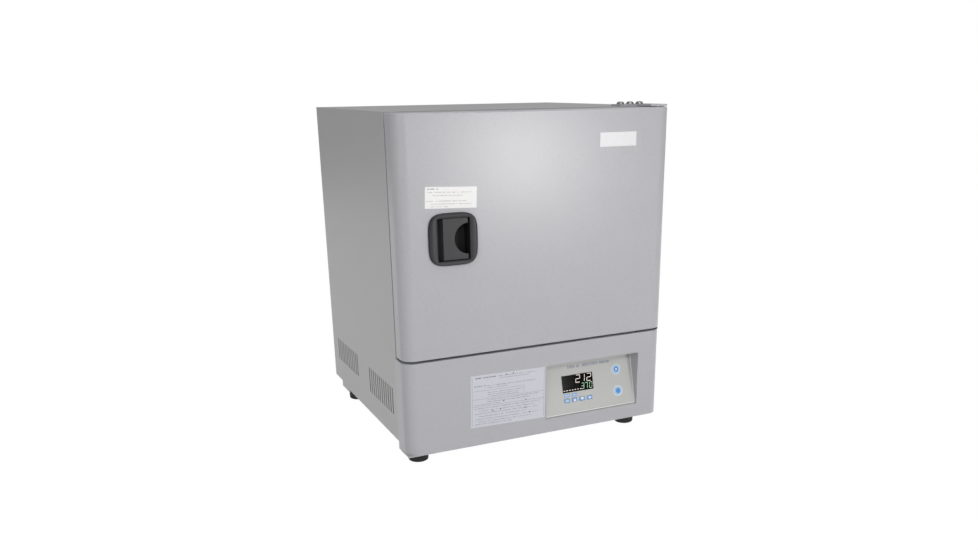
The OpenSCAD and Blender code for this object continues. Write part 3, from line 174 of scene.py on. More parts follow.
finishes = {
    # polyester powder coat on sheet steel: satin, its orange peel drawn at 3 mm, coarser than real, to show
    "doorCoat": grainedMaterial("satinPowderCoatLight", "#bababe", "#b6b6ba", 3.0, 0.04, 0.29),
    "cabinetCoat": grainedMaterial("satinPowderCoatSide", "#b9b7b9", "#b5b3b5", 3.0, 0.04, 0.36),
    # brushed 304 sheet: fine lines along X that stretch the highlights
    "brushedStainless": grainedMaterial("brushedStainlessSteel", "#d0d1d2", "#bfc0c2", 0.8, 0.01, 0.3,
                                        (0.03, 1, 1), {"Metallic": 1.0}),
    # drawn 304 wire and turned parts, smooth from electropolishing
    "polishedWire": grainedMaterial("electropolishedWire", "#d8d9da", "#c9cacc", 2.0, 0.005, 0.22,
                                    (1, 1, 1), {"Metallic": 1.0}),
    # zinc plate on mild steel: slightly cloudy
    "zincPlate": grainedMaterial("brightZincPlate", "#b9bcc0", "#9fa2a6", 4.0, 0.01, 0.36,
                                 (1, 1, 1), {"Metallic": 1.0}),
    # stainless hinge bolts, passivated: grey, with a dull shine on their domes
    "passivatedSteel": grainedMaterial("passivatedSteelBolts", "#a2a3a6", "#8e8f92", 1.0, 0.01, 0.3,
                                       (1, 1, 1), {"Metallic": 1.0}),
    # the lower bracket coloured near black as painted shade of the dark seam it sits in: half metallic,
    # semi-matt
    "bracketPaintedShade": grainedMaterial("bracketPaintedShadeSteel", "#3a3a3d", "#29292c", 1.0, 0.01, 0.45,
                                  (1, 1, 1), {"Metallic": 0.6}),
    # heater sheath, browned by heat
    "heatTint": grainedMaterial("heatTintedSheath", "#8c8078", "#6a615c", 6.0, 0.01, 0.42,
                                (1, 1, 1), {"Metallic": 1.0}),
    # die-cut sheet rubber under the bezel, flat black; its darkness also stands in as painted shade of the
    # gap round the bezel
    "gasketRubberAndShade": grainedMaterial("rubberGasketAndPaintedShade", "#1c1b1f", "#131215", 1.2, 0.02, 0.6),
    # glass-filled nylon, moulded in a spark-eroded tool: charcoal with a soft sheen
    "mouldedBlack": grainedMaterial("mouldedNylonCharcoal", "#2d2b2f", "#252427", 1.5, 0.03, 0.42),
    # the same nylon inside the cup, coloured nearly black as painted shade of the deep cup: matt
    "cupPaintedShade": grainedMaterial("cupPaintedShadeNylon", "#111013", "#0b0a0d", 1.2, 0.05, 0.75),
    # moulded rubber: dull black
    "footRubber": grainedMaterial("mouldedRubberBlack", "#222223", "#161617", 1.2, 0.04, 0.7),
    # extruded silicone: milky and soft
    "siliconeSeal": grainedMaterial("extrudedSilicone", "#d9d4cb", "#cfc9bf", 2.0, 0.02, 0.55,
                                    (1, 1, 1), {"Subsurface Weight": 0.1, "Subsurface Scale": 0.002}),
    # acetal bushes, turned: ivory white, smooth
    "turnedAcetal": grainedMaterial("turnedAcetalWhite", "#e9e7df", "#dedcd3", 1.5, 0.01, 0.35),
    # mineral wool board: straw-coloured fibres
    "woolBoard": grainedMaterial("mineralWoolBoard", "#d8c993", "#a8985f", 1.5, 0.4, 0.9, (0.25, 1, 1)),
    # printed polyester film: pale warm grey, faintly textured
    "panelFilm": grainedMaterial("printedPolyesterFilm", "#bebebb", "#b9b9b6", 1.5, 0.01, 0.4),
    # screen-printed inks on the film and keys: flat, faintly textured, no shine of their own
    "paleInk": grainedMaterial("screenPrintPale", "#f0f0ef", "#e9e9e8", 1.5, 0.005, 0.5),
    "titleInk": grainedMaterial("screenPrintSlate", "#6f7894", "#626b87", 1.5, 0.005, 0.5),
    # the soft halo round the two round buttons, printed in a tint of the keys' blue
    "haloInk": grainedMaterial("screenPrintHalo", "#cfe0ee", "#c6d9e9", 1.5, 0.005, 0.5),
    # moulded ABS caps of the round buttons: pale blue, satin
    "buttonCap": grainedMaterial("mouldedCapPaleBlue", "#b4d4ef", "#a8cbea", 1.5, 0.01, 0.4),
    # the keys' and buttons' own blues, printed in two strengths
    "blueInk": grainedMaterial("screenPrintBlue", "#68a8e6", "#5b9cdd", 1.5, 0.005, 0.45),
    "deepBlueInk": grainedMaterial("screenPrintDeepBlue", "#3a8fdd", "#2f84d2", 1.5, 0.005, 0.4),
    # label printing, from fresh to faded: matt
    "greyInk": grainedMaterial("labelInkGrey", "#8b8b95", "#777781", 1.0, 0.005, 0.6),
    "faintInk": grainedMaterial("labelInkFaded", "#b3aeac", "#a39e9c", 1.0, 0.005, 0.6),
    "darkInk": grainedMaterial("labelInkDark", "#2c2c32", "#202026", 1.0, 0.005, 0.6),
    # coated label paper under a clear film: white, or cooler and glossier on the fascia
    "labelWhite": grainedMaterial("labelPaperWhite", "#fcfbfa", "#f6f5f4", 4.0, 0.01, 0.42),
    "labelLilac": grainedMaterial("labelFilmPale", "#d5d5de", "#cecfd8", 4.0, 0.01, 0.38),
    # enamelled steel plate, fired: white with an even gloss
    "badgeWhite": grainedMaterial("enamelledPlateWhite", "#f0eff0", "#e9e8ea", 4.0, 0.01, 0.3),
    # smoked acrylic over the display, with an anti-reflection coat: near black, hardly a reflection
    "smokedAcrylic": grainedMaterial("smokedAcrylic", "#090b0a", "#050606", 5.0, 0.002, 0.12,
                                     (1, 1, 1), {"IOR": 1.49, "Specular IOR Level": 0.02}),
    # light-emitting segments behind diffusers: softly lit, warm above and green below
    "warmSegment": glowingMaterial("litSegmentWarm", "#e2d0c6", 0.55),
    "greenSegment": glowingMaterial("litSegmentGreen", "#9cc9a2", 0.4),
    # solder mask over copper: green and semi-gloss
    "solderMask": grainedMaterial("solderMaskGreen", "#2f6d3d", "#265c33", 3.0, 0.02, 0.35),
    # toughened soda-lime glass: clear, faintly green through its edges, with a trace of dust on the surface
    "glass": clearGlass("toughenedGlass"),
}
print("materials made")


# Pieces
def newPiece(name, mesh, finish, body, nodes=()):
    piece = bpy.data.objects.new(name, mesh)
    bpy.context.scene.collection.objects.link(piece)
    if finish:
        mesh.materials.clear()
        mesh.materials.append(finishes[finish])
    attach(piece, body)
    if nodes:
        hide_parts(*nodes)
    return piece


def meshFrom(work, name):
    mesh = bpy.data.meshes.new(name)
    work.to_mesh(mesh)
    work.free()
    return mesh


# Smooth shading that leaves large flat faces flat
def smoothed(piece, sharpAngle=50):
    piece.data.shade_smooth()
    piece.data.set_sharp_from_angle(angle=math.radians(sharpAngle))
    normals = piece.modifiers.new("flatFaces", "WEIGHTED_NORMAL")
    normals.keep_sharp = True
    return piece


def settledMesh(mesh, name, modifiers):
    holder = bpy.data.objects.new(name, mesh)
    bpy.context.scene.collection.objects.link(holder)
    for kind, settings in modifiers:
        modifier = holder.modifiers.new(kind.lower(), kind)
        for key, value in settings.items():
            setattr(modifier, key, value)
    bpy.context.view_layer.update()
    done = bpy.data.meshes.new_from_object(holder.evaluated_get(bpy.context.evaluated_depsgraph_get()))
    done.name = name
    bpy.data.objects.remove(holder)
    return done


meshCare = {"weld": 0.005, "flat": 0.3}  # millimetres between joined points, degrees between joined faces


# A CAD node's shape with its edges broken, as bent sheet and moulded parts have them
def brokenEdges(name, node, finish, body, edge=0.4, steps=2, limit=38):
    work = bmesh.new()
    work.from_mesh(cadNodes[node].data)
    bmesh.ops.remove_doubles(work, verts=work.verts, dist=meshCare["weld"] * mm)
    bmesh.ops.dissolve_limit(work, angle_limit=math.radians(meshCare["flat"]), verts=work.verts,
                             edges=work.edges)
    mesh = meshFrom(work, name)
    if "custom_normal" in mesh.attributes:
        mesh.attributes.remove(mesh.attributes["custom_normal"])
    bevel = {"width": edge * mm, "segments": steps, "limit_method": "ANGLE",
             "angle_limit": math.radians(limit), "use_clamp_overlap": True}
    mesh = settledMesh(mesh, name, [("BEVEL", bevel)])
    return smoothed(newPiece(name, mesh, finish, body, [node]))


# Sheet wrapped round two upright corners, with an optional window and round holes in its caps
def planLine(setup):
    half, radius, steps = setup["width"] / 2, setup["corner"], setup["cornerSteps"]
    points = [(-half, setup["rear"], -1, 0)]
    for side, start in ((-1, 180), (1, 270)):
        if side > 0:
            points += [(x, setup["front"], 0, -1) for x in setup["window"][0]]
        for k in range(steps + 1):
            angle = math.radians(start + 90 * k / steps)
            points.append((side * (half - radius) + radius * math.cos(angle),
                           setup["front"] + radius + radius * math.sin(angle),
                           math.cos(angle), math.sin(angle)))
    points.append((half, setup["rear"], 1, 0))
    return points


def edgeRows(level, radius, upwards, steps=5):
    rows = []
    for k in range(steps + 1):
        angle = math.radians(90 * k / steps)
        rows.append((level + upwards * radius * (1 - math.cos(angle)), radius * (1 - math.sin(angle))))
    return rows if upwards > 0 else rows[::-1]


def wrappedSheet(setup):
    points = planLine(setup)
    low, high = setup["levels"]
    rows = edgeRows(low, setup["lowEdge"], 1) if setup["lowEdge"] else [(low, 0)]
    rows += [(z, 0) for z in setup["window"][1]]
    rows += edgeRows(high, setup["topEdge"], -1)
    work = bmesh.new()
    grid = [[work.verts.new(((x - nx * inset) * mm, (y - ny * inset) * mm, z * mm))
             for x, y, nx, ny in points] for z, inset in rows]
    windowColumn = next(k for k, p in enumerate(points) if p[0] == setup["window"][0][0])
    windowRow = next(k for k, r in enumerate(rows) if r[0] == setup["window"][1][0])
    for i in range(len(rows) - 1):
        for j in range(len(points) - 1):
            if i != windowRow or j != windowColumn:
                work.faces.new((grid[i][j], grid[i][j + 1], grid[i + 1][j + 1], grid[i + 1][j]))
    for closed, row, up in ((setup["lowCap"], grid[0], -1), (True, grid[-1], 1)):
        if closed:
            cap = [work.edges.get((row[k], row[k + 1])) or work.edges.new((row[k], row[k + 1]))
                   for k in range(len(row) - 1)] + [work.edges.new((row[-1], row[0]))]
            sides = setup["holeSides"]
            for x, y, radius in setup["capHoles"]:
                ring = [work.verts.new(((x + radius * math.cos(a)) * mm, (y + radius * math.sin(a)) * mm,
                                        row[0].co.z)) for a in (math.tau * k / sides for k in range(sides))]
                cap += [work.edges.new((ring[k], ring[(k + 1) % sides])) for k in range(sides)]
            made = bmesh.ops.triangle_fill(work, edges=cap, use_beauty=True)["geom"]
            for face in (g for g in made if isinstance(g, bmesh.types.BMFace)):
                face.normal_update()
                if face.normal.z * up < 0:
                    face.normal_flip()
    return work


# Thin printed or laid-on shapes: outlines drawn flat, given a height, then put in place
def raisedShapes(outlines, low, high, place):
    work = bmesh.new()
    for outline in outlines:
        base = [work.verts.new((x * mm, y * mm, low * mm)) for x, y in outline]
        top = [work.verts.new((x * mm, y * mm, high * mm)) for x, y in outline]
        count = len(outline)
        work.faces.new(base[::-1])
        work.faces.new(top)
        for k in range(count):
            work.faces.new((base[k], base[(k + 1) % count], top[(k + 1) % count], top[k]))
    bmesh.ops.transform(work, matrix=place, verts=work.verts)
    bmesh.ops.recalc_face_normals(work, faces=work.faces)
    return work


doorShell = {
    "width": 480, "front": -217, "rear": -179, "corner": 20, "cornerSteps": 14,
    "levels": (189.8, 563), "lowEdge": 2.0, "topEdge": 2.2, "lowCap": True,
    "window": ((-182, -123), (342, 412)), "capHoles": [(231, -201, 6)], "holeSides": 32, "sheet": 1.5,
    "sharpAngle": 38,
}
fasciaShell = {
    "width": 480, "front": -215.5, "rear": -168, "corner": 20, "cornerSteps": 14,
    "levels": (30, 186), "lowEdge": 0, "topEdge": 1.5, "lowCap": False,
    "window": ((10, 192), (55, 149.5)), "capHoles": [(231, -201, 4)], "holeSides": 32, "sheet": 1.5,
    "sharpAngle": 38,
    "flange": {"rear": -180, "front": -215.5, "levels": (30, 31.5), "under": 0.2},
}


def sheetPiece(name, setup, node, body):
    mesh = meshFrom(wrappedSheet(setup), name)
    wall = {"thickness": setup["sheet"] * mm, "offset": -1, "use_even_offset": True}
    mesh = settledMesh(mesh, name, [("SOLIDIFY", wall)])
    if "flange" in setup:
        # square at the left, rounded with the shell at the right
        flange, half, radius = setup["flange"], setup["width"] / 2, setup["corner"]
        inside = radius - flange["under"]
        outline = [(-half, flange["rear"]), (-half, flange["front"])]
        for k in range(setup["cornerSteps"] + 1):
            angle = math.radians(270 + 90 * k / setup["cornerSteps"])
            outline.append((half - radius + inside * math.cos(angle),
                            flange["front"] + radius + inside * math.sin(angle)))
        outline.append((half - flange["under"], flange["rear"]))
        work = raisedShapes([outline], *flange["levels"], Matrix())
        work.from_mesh(mesh)
        mesh = meshFrom(work, name)
    return smoothed(newPiece(name, mesh, "doorCoat", body, [node]), setup["sharpAngle"])


sheetPiece("doorShell", doorShell, "door_skin", "door")
sheetPiece("fasciaShell", fasciaShell, "fascia", "cabinet")
brokenEdges("cabinetWrapper", "cabinet_shell", "cabinetCoat", "cabinet", edge=0.45)
brokenEdges("doorInnerPanel", "door_inner_panel", "doorCoat", "door", edge=0.5)
brokenEdges("chamberFrame", "front_frame", "doorCoat", "cabinet", edge=0.3)
brokenEdges("rearCover", "rear_cover", "cabinetCoat", "cabinet", edge=0.3)
brokenEdges("baseTray", "base_tray", "cabinetCoat", "cabinet", edge=0.3)
print("sheet metal made")

# Handle: a domed bezel round a cup, and the paddle in it
handleBezel = {
    "middle": (-152.5, 377), "face": -217, "outer": (80.5, 80.5), "outerPower": 4.0, "cup": (53, 65),
    "cupPower": 34, "steps": 120, "depth": 17.5, "wall": 1.2, "slot": (-178, -162.9, 371, 383),
    # share of the way from the rim to the cup's edge, and height over the door
    "profile": [(0, 0), (0, 2.6), (0.03, 3.6), (0.09, 4.7), (0.17, 5.5), (0.3, 5.9), (0.5, 6.0),
                (0.75, 5.7), (0.93, 5.2), (0.98, 4.7), (1, 4.0)],
    "gasketAndShadeRows": 2,  # the lowest rows of the profile, in dark rubber that is also painted shade of the gap round the bezel
    "finishes": ("mouldedBlack", "gasketRubberAndShade", "cupPaintedShade"),  # dome; rubber flank, partly painted shade; inside of the cup, near black as painted shade
    "sharpAngle": 40,
}


def bulgedPoint(size, power, angle):
    c, s = math.cos(angle), math.sin(angle)
    return (math.copysign(size[0] / 2 * abs(c) ** (2 / power), c),
            math.copysign(size[1] / 2 * abs(s) ** (2 / power), s))


def makeBezel(setup):
    work = bmesh.new()
    steps = setup["steps"]
    rings = []
    for share, height in [*setup["profile"], (1, -setup["depth"])]:
        ring = []
        for k in range(steps):
            angle = math.tau * (k + 0.5) / steps
            outer = bulgedPoint(setup["outer"], setup["outerPower"], angle)
            inner = bulgedPoint(setup["cup"], setup["cupPower"], angle)
            x, z = [o + share * (i - o) for o, i in zip(outer, inner)]
            ring.append(work.verts.new(((setup["middle"][0] + x) * mm, (setup["face"] - height) * mm,
                                        (setup["middle"][1] + z) * mm)))
        rings.append(ring)
    for row, (low, high) in enumerate(zip(rings, rings[1:])):
        for k in range(steps):
            face = work.faces.new((low[k], low[(k + 1) % steps], high[(k + 1) % steps], high[k]))
            # index 1 is the dark flank, partly painted shade; index 2 is the cup, near black as painted
            # shade
            face.material_index = 1 if row < setup["gasketAndShadeRows"] else 2 if row == len(rings) - 2 else 0
    floor = rings[-1]
    edges = [work.edges.get((floor[k], floor[(k + 1) % steps])) for k in range(steps)]
    x0, x1, z0, z1 = setup["slot"]
    corners = [work.verts.new((x * mm, floor[0].co.y, z * mm))
               for x, z in ((x0, z0), (x1, z0), (x1, z1), (x0, z1))]
    edges += [work.edges.new((corners[k], corners[(k + 1) % 4])) for k in range(4)]
    for part in bmesh.ops.triangle_fill(work, edges=edges, use_beauty=True)["geom"]:
        if isinstance(part, bmesh.types.BMFace):
            # the cup's floor takes the near-black painted shade too
            part.material_index = 2
    for face in work.faces:
        face.normal_update()
    bmesh.ops.recalc_face_normals(work, faces=work.faces)
    floorFace = min(work.faces, key=lambda f: -f.calc_center_median().y)
    if floorFace.normal.y > 0:
        bmesh.ops.reverse_faces(work, faces=work.faces)
    mesh = meshFrom(work, "handleBezel")
    for finish in setup["finishes"]:
        mesh.materials.append(finishes[finish])
    mesh = settledMesh(mesh, "handleBezel", [("SOLIDIFY", {"thickness": setup["wall"] * mm, "offset": -1})])
    piece = newPiece("handleBezel", mesh, None, "door", ["handle_bezel"])
    smoothed(piece, setup["sharpAngle"])


makeBezel(handleBezel)
brokenEdges("handlePaddle", "handle_paddle", "mouldedBlack", "paddle", edge=0.7, steps=3)
print("handle made")

# Control panel: everything on it is placed across x and up its slope, in millimetres
panelSettings = {"face": -212, "low": 55, "tilt": 13.392, "left": 10, "right": 192, "length": 97.14}
panelPlace = (Matrix.Translation((0, panelSettings["face"] * mm, panelSettings["low"] * mm))
              @ Matrix.Rotation(math.radians(-panelSettings["tilt"]), 4, "X")
              @ Matrix.Rotation(math.radians(90), 4, "X"))


def roundedOutline(x, y, w, h, r, steps=5):
    outline = []
    for cx, cy, start in ((w / 2 - r, h / 2 - r, 0), (-w / 2 + r, h / 2 - r, 90),
                          (-w / 2 + r, -h / 2 + r, 180), (w / 2 - r, -h / 2 + r, 270)):
        for k in range(steps + 1):
            angle = math.radians(start + 90 * k / steps)
            outline.append((x + cx + r * math.cos(angle), y + cy + r * math.sin(angle)))
    return outline


def strip(x0, y0, x1, y1):
    return [(x0, y0), (x1, y0), (x1, y1), (x0, y1)]


segmentShapes = {"0": "abcdef", "1": "bc", "2": "abged", "3": "abgcd", "7": "abc"}


def digitOutlines(setup, slant):
    outlines = []
    w, h = setup["size"]
    n, half = setup["thick"] / 2, setup["size"][1] / 2
    g = n * setup["gap"]
    bars = {"a": (0, h, w, h), "g": (0, half, w, half), "d": (0, 0, w, 0),
            "f": (0, half, 0, h), "b": (w, half, w, h), "e": (0, 0, 0, half), "c": (w, 0, w, half)}
    for letter, x in setup["digits"]:
        for key in segmentShapes[letter]:
            x0, y0, x1, y1 = bars[key]
            if y0 == y1:
                shape = [(x0 + g, y0), (x0 + n + g, y0 - n), (x1 - n - g, y0 - n), (x1 - g, y0),
                         (x1 - n - g, y0 + n), (x0 + n + g, y0 + n)]
            else:
                shape = [(x0, y0 + g), (x0 + n, y0 + n + g), (x0 + n, y1 - n - g), (x0, y1 - g),
                         (x0 - n, y1 - n - g), (x0 - n, y0 + n + g)]
            outlines.append([(x + px + slant * py, setup["low"] + py) for px, py in shape])
    return outlines


displaySettings = {
    # gap is the share of half a segment's thickness that stays open at its ends
    "upper": {"digits": (("2", 76), ("1", 85.2), ("2", 98.2)), "low": 53, "size": (8, 12.6), "thick": 0.95,
              "gap": 0.35},
    "lower": {"digits": (("3", 86), ("7", 93), ("0", 102.3)), "low": 40.3, "size": (5, 10), "thick": 0.8,
              "gap": 0.35},
    "slant": 0.12, "marks": 7, "markStart": 50.8, "markPitch": 5.4, "markUp": 40.6, "mark": (2.9, 1.0),
    "lift": (-0.18, -0.08),
}


def flatPiece(name, outlines, low, high, finish, body, slot, place=panelPlace, nodes=()):
    mesh = meshFrom(raisedShapes(outlines, low, high, place), name)
    return newPiece(name, mesh, finish, body, nodes)


def makeDisplay(setup):
    for name, row, finish in (("upperDigits", "upper", "warmSegment"),
                              ("lowerDigits", "lower", "greenSegment")):
        flatPiece(name, digitOutlines(setup[row], setup["slant"]), *setup["lift"], finish, "cabinet",
                  "display_window")
    width, height = setup["mark"]
    starts = [setup["markStart"] + k * setup["markPitch"] for k in range(setup["marks"])]
    marks = [strip(x, setup["markUp"], x + width, setup["markUp"] + height) for x in starts]
    flatPiece("statusMarks", marks, *setup["lift"], "warmSegment", "cabinet", "display_window")


makeDisplay(displaySettings)

# Printing on the panel, with the heights of its layers of ink; its pale bottom strip is also a painted
# highlight
panelPrint = {
    "borderAndHighlight": 1.6, "borderIn": 0.6, "borderInk": 0.08,
    "labels": [(56.4, 32.7), (71.5, 32.2)], "label": (10, 5.6, 0.8), "labelInk": 0.1,
    "marks": (-3.6, -1.2, 1.6), "mark": (1.5, 2.6), "markInk": 0.14,
    "title": [(63.5, 85, 81.6), (92, 146, 81.6)],
}


def makePanelPrint(setup, panel):
    inner, wide = setup["borderIn"], setup["borderAndHighlight"]
    left, right, top = panel["left"] + inner, panel["right"] - inner, panel["length"] - 2 * inner
    # pale strips along the panel's bottom and right: printed border, the bottom one also a painted
    # highlight of the recess's lit lower edge
    borderAndHighlight = [strip(left, inner, right, inner + wide), strip(right - wide, inner + wide, right, top)]
    flatPiece("panelBorderAndHighlight", borderAndHighlight, 0, setup["borderInk"], "paleInk", "cabinet", "panel_film")
    labels = [roundedOutline(x, y, *setup["label"]) for x, y in setup["labels"]]
    flatPiece("smallLabels", labels, 0, setup["labelInk"], "blueInk", "cabinet", "panel_film")
    width, half = setup["mark"][0], setup["mark"][1] / 2
    marks = [strip(x + dx, y - half, x + dx + width, y + half) for x, y in setup["labels"]
             for dx in setup["marks"]]
    flatPiece("smallLabelMarks", marks, setup["labelInk"], setup["markInk"], "paleInk", "cabinet",
              "panel_film")


makePanelPrint(panelPrint, panelSettings)
brokenEdges("controlPanel", "control_panel", "panelFilm", "cabinet", edge=0.15)
brokenEdges("controlBezel", "control_bezel", "doorCoat", "cabinet", edge=0.4)

# Half-round rim round the recess's opening
recessRim = {"opening": ((10, 192), (55, 149.5)), "face": -215.5, "width": 1.4, "height": 0.8, "steps": 8,
             "sunk": 0.1}


def makeRecessRim(setup):
    (left, right), (bottom, top) = setup["opening"]
    work = bmesh.new()
    rings = []
    for k in range(setup["steps"] + 1):
        angle = math.pi * k / setup["steps"]
        out = setup["width"] / 2 * (1 - math.cos(angle))
        y = setup["face"] + setup["sunk"] - (setup["height"] + setup["sunk"]) * math.sin(angle)
        rings.append([work.verts.new((x * mm, y * mm, z * mm)) for x, z in
                      strip(left - out, bottom - out, right + out, top + out)])
    for near, far in zip(rings, rings[1:] + rings[:1]):
        for k in range(4):
            work.faces.new((near[k], near[(k + 1) % 4], far[(k + 1) % 4], far[k]))
    bmesh.ops.recalc_face_normals(work, faces=work.faces)
    smoothed(newPiece("recessRim", meshFrom(work, "recessRim"), "doorCoat", "cabinet"))


makeRecessRim(recessRim)
brokenEdges("displayWindow", "display_module", "smokedAcrylic", "cabinet", edge=0.2)

# Four keys, each with its symbol's outlines round the key's middle
keySettings = {
    "face": 0.6, "ink": 0.06, "edge": 0.35, "up": 23.5,
    "keys": [
        ("key_one", 55.5, [strip(-3.4, -1.9, 3.4, -1.1), strip(-3.4, -0.4, 3.4, 0.4),
                           strip(-3.4, 1.1, 3.4, 1.9)]),
        ("key_two", 70.5, [strip(-2.5, -2.8, 2.5, 1.3)]),
        ("key_three", 85.5, [strip(-2.5, -1.3, 2.5, 2.8)]),
        ("key_four", 100.5, [roundedOutline(0, 0, 4.8, 3.4, 0.6)]),
    ],
}


def makeKeys(setup):
    for k, (body, across, shapes) in enumerate(setup["keys"]):
        brokenEdges(f"keyCap{k + 1}", f"key_{k + 1}", "blueInk", body, setup["edge"])
        symbol = [[(across + x, setup["up"] + y) for x, y in shape] for shape in shapes]
        flatPiece(f"keySymbol{k + 1}", symbol, setup["face"], setup["face"] + setup["ink"], "paleInk", body,
                  "blue_key")


makeKeys(keySettings)
brokenEdges("ringButton", "ring_button", "buttonCap", "upper_button", edge=0.35)
brokenEdges("powerButton", "power_button", "buttonCap", "lower_button", edge=0.35)
roundButtons = {"across": 159, "upper": 65, "lower": 26.5, "print": 4.7, "dimple": 2.6, "dimpleGap": 0.05,
                "dimpleFloor": -0.9, "dot": 2.0, "halo": 9.6, "haloIn": 6.9, "face": 0.6, "ink": 0.05,
                "dotInk": 0.06}


def ringOutline(x, y, r, steps=40):
    angles = [math.tau * k / steps for k in range(steps)]
    return [(x + r * math.cos(a), y + r * math.sin(a)) for a in angles]


# A ring as a row of four-sided pieces
def bandOutlines(x, y, inner, outer, steps=40):
    near, far = ringOutline(x, y, inner, steps), ringOutline(x, y, outer, steps)
    return [[near[k], far[k], far[(k + 1) % steps], near[(k + 1) % steps]] for k in range(steps)]


def makeButtonPrint(setup):
    upper, lower = [(setup["across"], setup[row]) for row in ("upper", "lower")]
    face, ink = setup["face"], setup["face"] + setup["ink"]
    halos = [band for place in (upper, lower)
             for band in bandOutlines(*place, setup["haloIn"], setup["halo"])]
    flatPiece("buttonHalos", halos, 0, setup["ink"], "haloInk", "cabinet", "panel_film")
    flatPiece("ringButtonPrint", bandOutlines(*upper, setup["dimple"], setup["print"]), face, ink,
              "deepBlueInk", "upper_button", "blue_key")
    flatPiece("ringButtonCentre", [ringOutline(*upper, setup["dimple"] - setup["dimpleGap"])],
              setup["dimpleFloor"], face, "deepBlueInk", "upper_button", "blue_key")
    flatPiece("ringButtonDot", [ringOutline(*upper, setup["dot"])], face, face + setup["dotInk"], "paleInk",
              "upper_button", "blue_key")
    flatPiece("powerButtonPrint", [ringOutline(*lower, setup["print"])], face, ink, "deepBlueInk",
              "lower_button", "blue_key")


makeButtonPrint(roundButtons)
print("control panel made")


# A Geometry Nodes group with named inputs; their identifiers come back with it
def namedTree(name, inputs):
    tree = bpy.data.node_groups.new(name, "GeometryNodeTree")
    tree.interface.new_socket(name="Geometry", in_out="INPUT", socket_type="NodeSocketGeometry")
    identifiers = {}
    for label, kind in inputs:
        socket = tree.interface.new_socket(name=label, in_out="INPUT", socket_type=f"NodeSocket{kind}")
        identifiers[label] = socket.identifier
    tree.interface.new_socket(name="Geometry", in_out="OUTPUT", socket_type="NodeSocketGeometry")
    return tree, identifiers, addNode(tree, "NodeGroupInput").outputs


def closeTree(tree, geometry, finish):
    real = addNode(tree, "GeometryNodeRealizeInstances", None, {0: geometry})
    covered = addNode(tree, "GeometryNodeSetMaterial", None,
                      {"Geometry": real.outputs[0], "Material": finish})
    addNode(tree, "NodeGroupOutput", None, {0: covered.outputs[0]})


# Small print: strokes of random size along the drawn rows, some left out as the gaps between words
strokeShares = ((0.45, 0.55, 1.0), (1.0, 1.0, 1.0))  # the least and the most of width, height and depth


def printedRowsTree():
    tree, names, given = namedTree("printedRows", (
        ("Pitch", "Float"), ("Stroke width", "Float"), ("Stroke height", "Float"), ("Ink depth", "Float"),
        ("Kept share", "Float"), ("Seed", "Int"), ("Ink", "Material")))
    rows = addNode(tree, "GeometryNodeMeshToCurve", None, {0: given["Geometry"]})
    points = addNode(tree, "GeometryNodeResampleCurve", {"mode": "LENGTH"},
                     {"Curve": rows.outputs[0], "Length": given["Pitch"]})
    kept = addNode(tree, "FunctionNodeRandomValue", {"data_type": "BOOLEAN"},
                   {6: given["Kept share"], 8: given["Seed"]})
    size = addNode(tree, "FunctionNodeRandomValue",
                   {"data_type": "FLOAT_VECTOR", 0: strokeShares[0], 1: strokeShares[1]},
                   {8: given["Seed"]})
    whole = addNode(tree, "ShaderNodeCombineXYZ", None,
                    {"X": given["Stroke width"], "Y": given["Stroke height"], "Z": given["Ink depth"]})
    stroke = addNode(tree, "GeometryNodeMeshCube", None, {"Size": whole.outputs[0]})
    placed = addNode(tree, "GeometryNodeInstanceOnPoints", None,
                     {"Points": points.outputs[0], "Selection": kept.outputs[3],
                      "Instance": stroke.outputs[0], "Scale": size.outputs[0]})
    closeTree(tree, placed.outputs[0], given["Ink"])
    return tree, names


screwSides = {"head": 32, "shank": 16}


# Screws: a head with sloping shoulders and a socket in it, on a plain shank, at every given point
def headedScrewsTree():
    tree, names, given = namedTree("headedScrews", (
        ("Head radius", "Float"), ("Crown radius", "Float"), ("Head height", "Float"),
        ("Socket sides", "Int"), ("Socket radius", "Float"), ("Socket depth", "Float"),
        ("Shank radius", "Float"), ("Shank length", "Float"), ("Turn", "Vector"), ("Finish", "Material")))
    head = addNode(tree, "GeometryNodeMeshCone", {"Vertices": screwSides["head"]},
                   {"Radius Bottom": given["Head radius"], "Radius Top": given["Crown radius"],
                    "Depth": given["Head height"]})
    deep = addNode(tree, "ShaderNodeMath", {"operation": "MULTIPLY", 1: 2.0}, {0: given["Socket depth"]})
    cutter = addNode(tree, "GeometryNodeMeshCylinder", None,
                     {"Vertices": given["Socket sides"], "Radius": given["Socket radius"],
                      "Depth": deep.outputs[0]})
    top = addNode(tree, "ShaderNodeCombineXYZ", None, {"Z": given["Head height"]})
    lifted = addNode(tree, "GeometryNodeTransform", None,
                     {"Geometry": cutter.outputs[0], "Translation": top.outputs[0]})
    hollow = addNode(tree, "GeometryNodeMeshBoolean", {"operation": "DIFFERENCE", "solver": "EXACT"},
                     {0: head.outputs[0], 1: lifted.outputs[0]})
    shank = addNode(tree, "GeometryNodeMeshCylinder", {"Vertices": screwSides["shank"]},
                    {"Radius": given["Shank radius"], "Depth": given["Shank length"]})
    down = addNode(tree, "ShaderNodeMath", {"operation": "MULTIPLY", 1: -0.5}, {0: given["Shank length"]})
    below = addNode(tree, "ShaderNodeCombineXYZ", None, {"Z": down.outputs[0]})
    sunk = addNode(tree, "GeometryNodeTransform", None,
                   {"Geometry": shank.outputs[0], "Translation": below.outputs[0]})
    screw = addNode(tree, "GeometryNodeJoinGeometry")
    for part in (hollow, sunk):
        tree.links.new(part.outputs[0], screw.inputs[0])
    placed = addNode(tree, "GeometryNodeInstanceOnPoints", None,
                     {"Points": given["Geometry"], "Instance": screw.outputs[0], "Rotation": given["Turn"]})
    closeTree(tree, placed.outputs[0], given["Finish"])
    return tree, names


printedRows, headedScrews = printedRowsTree(), headedScrewsTree()


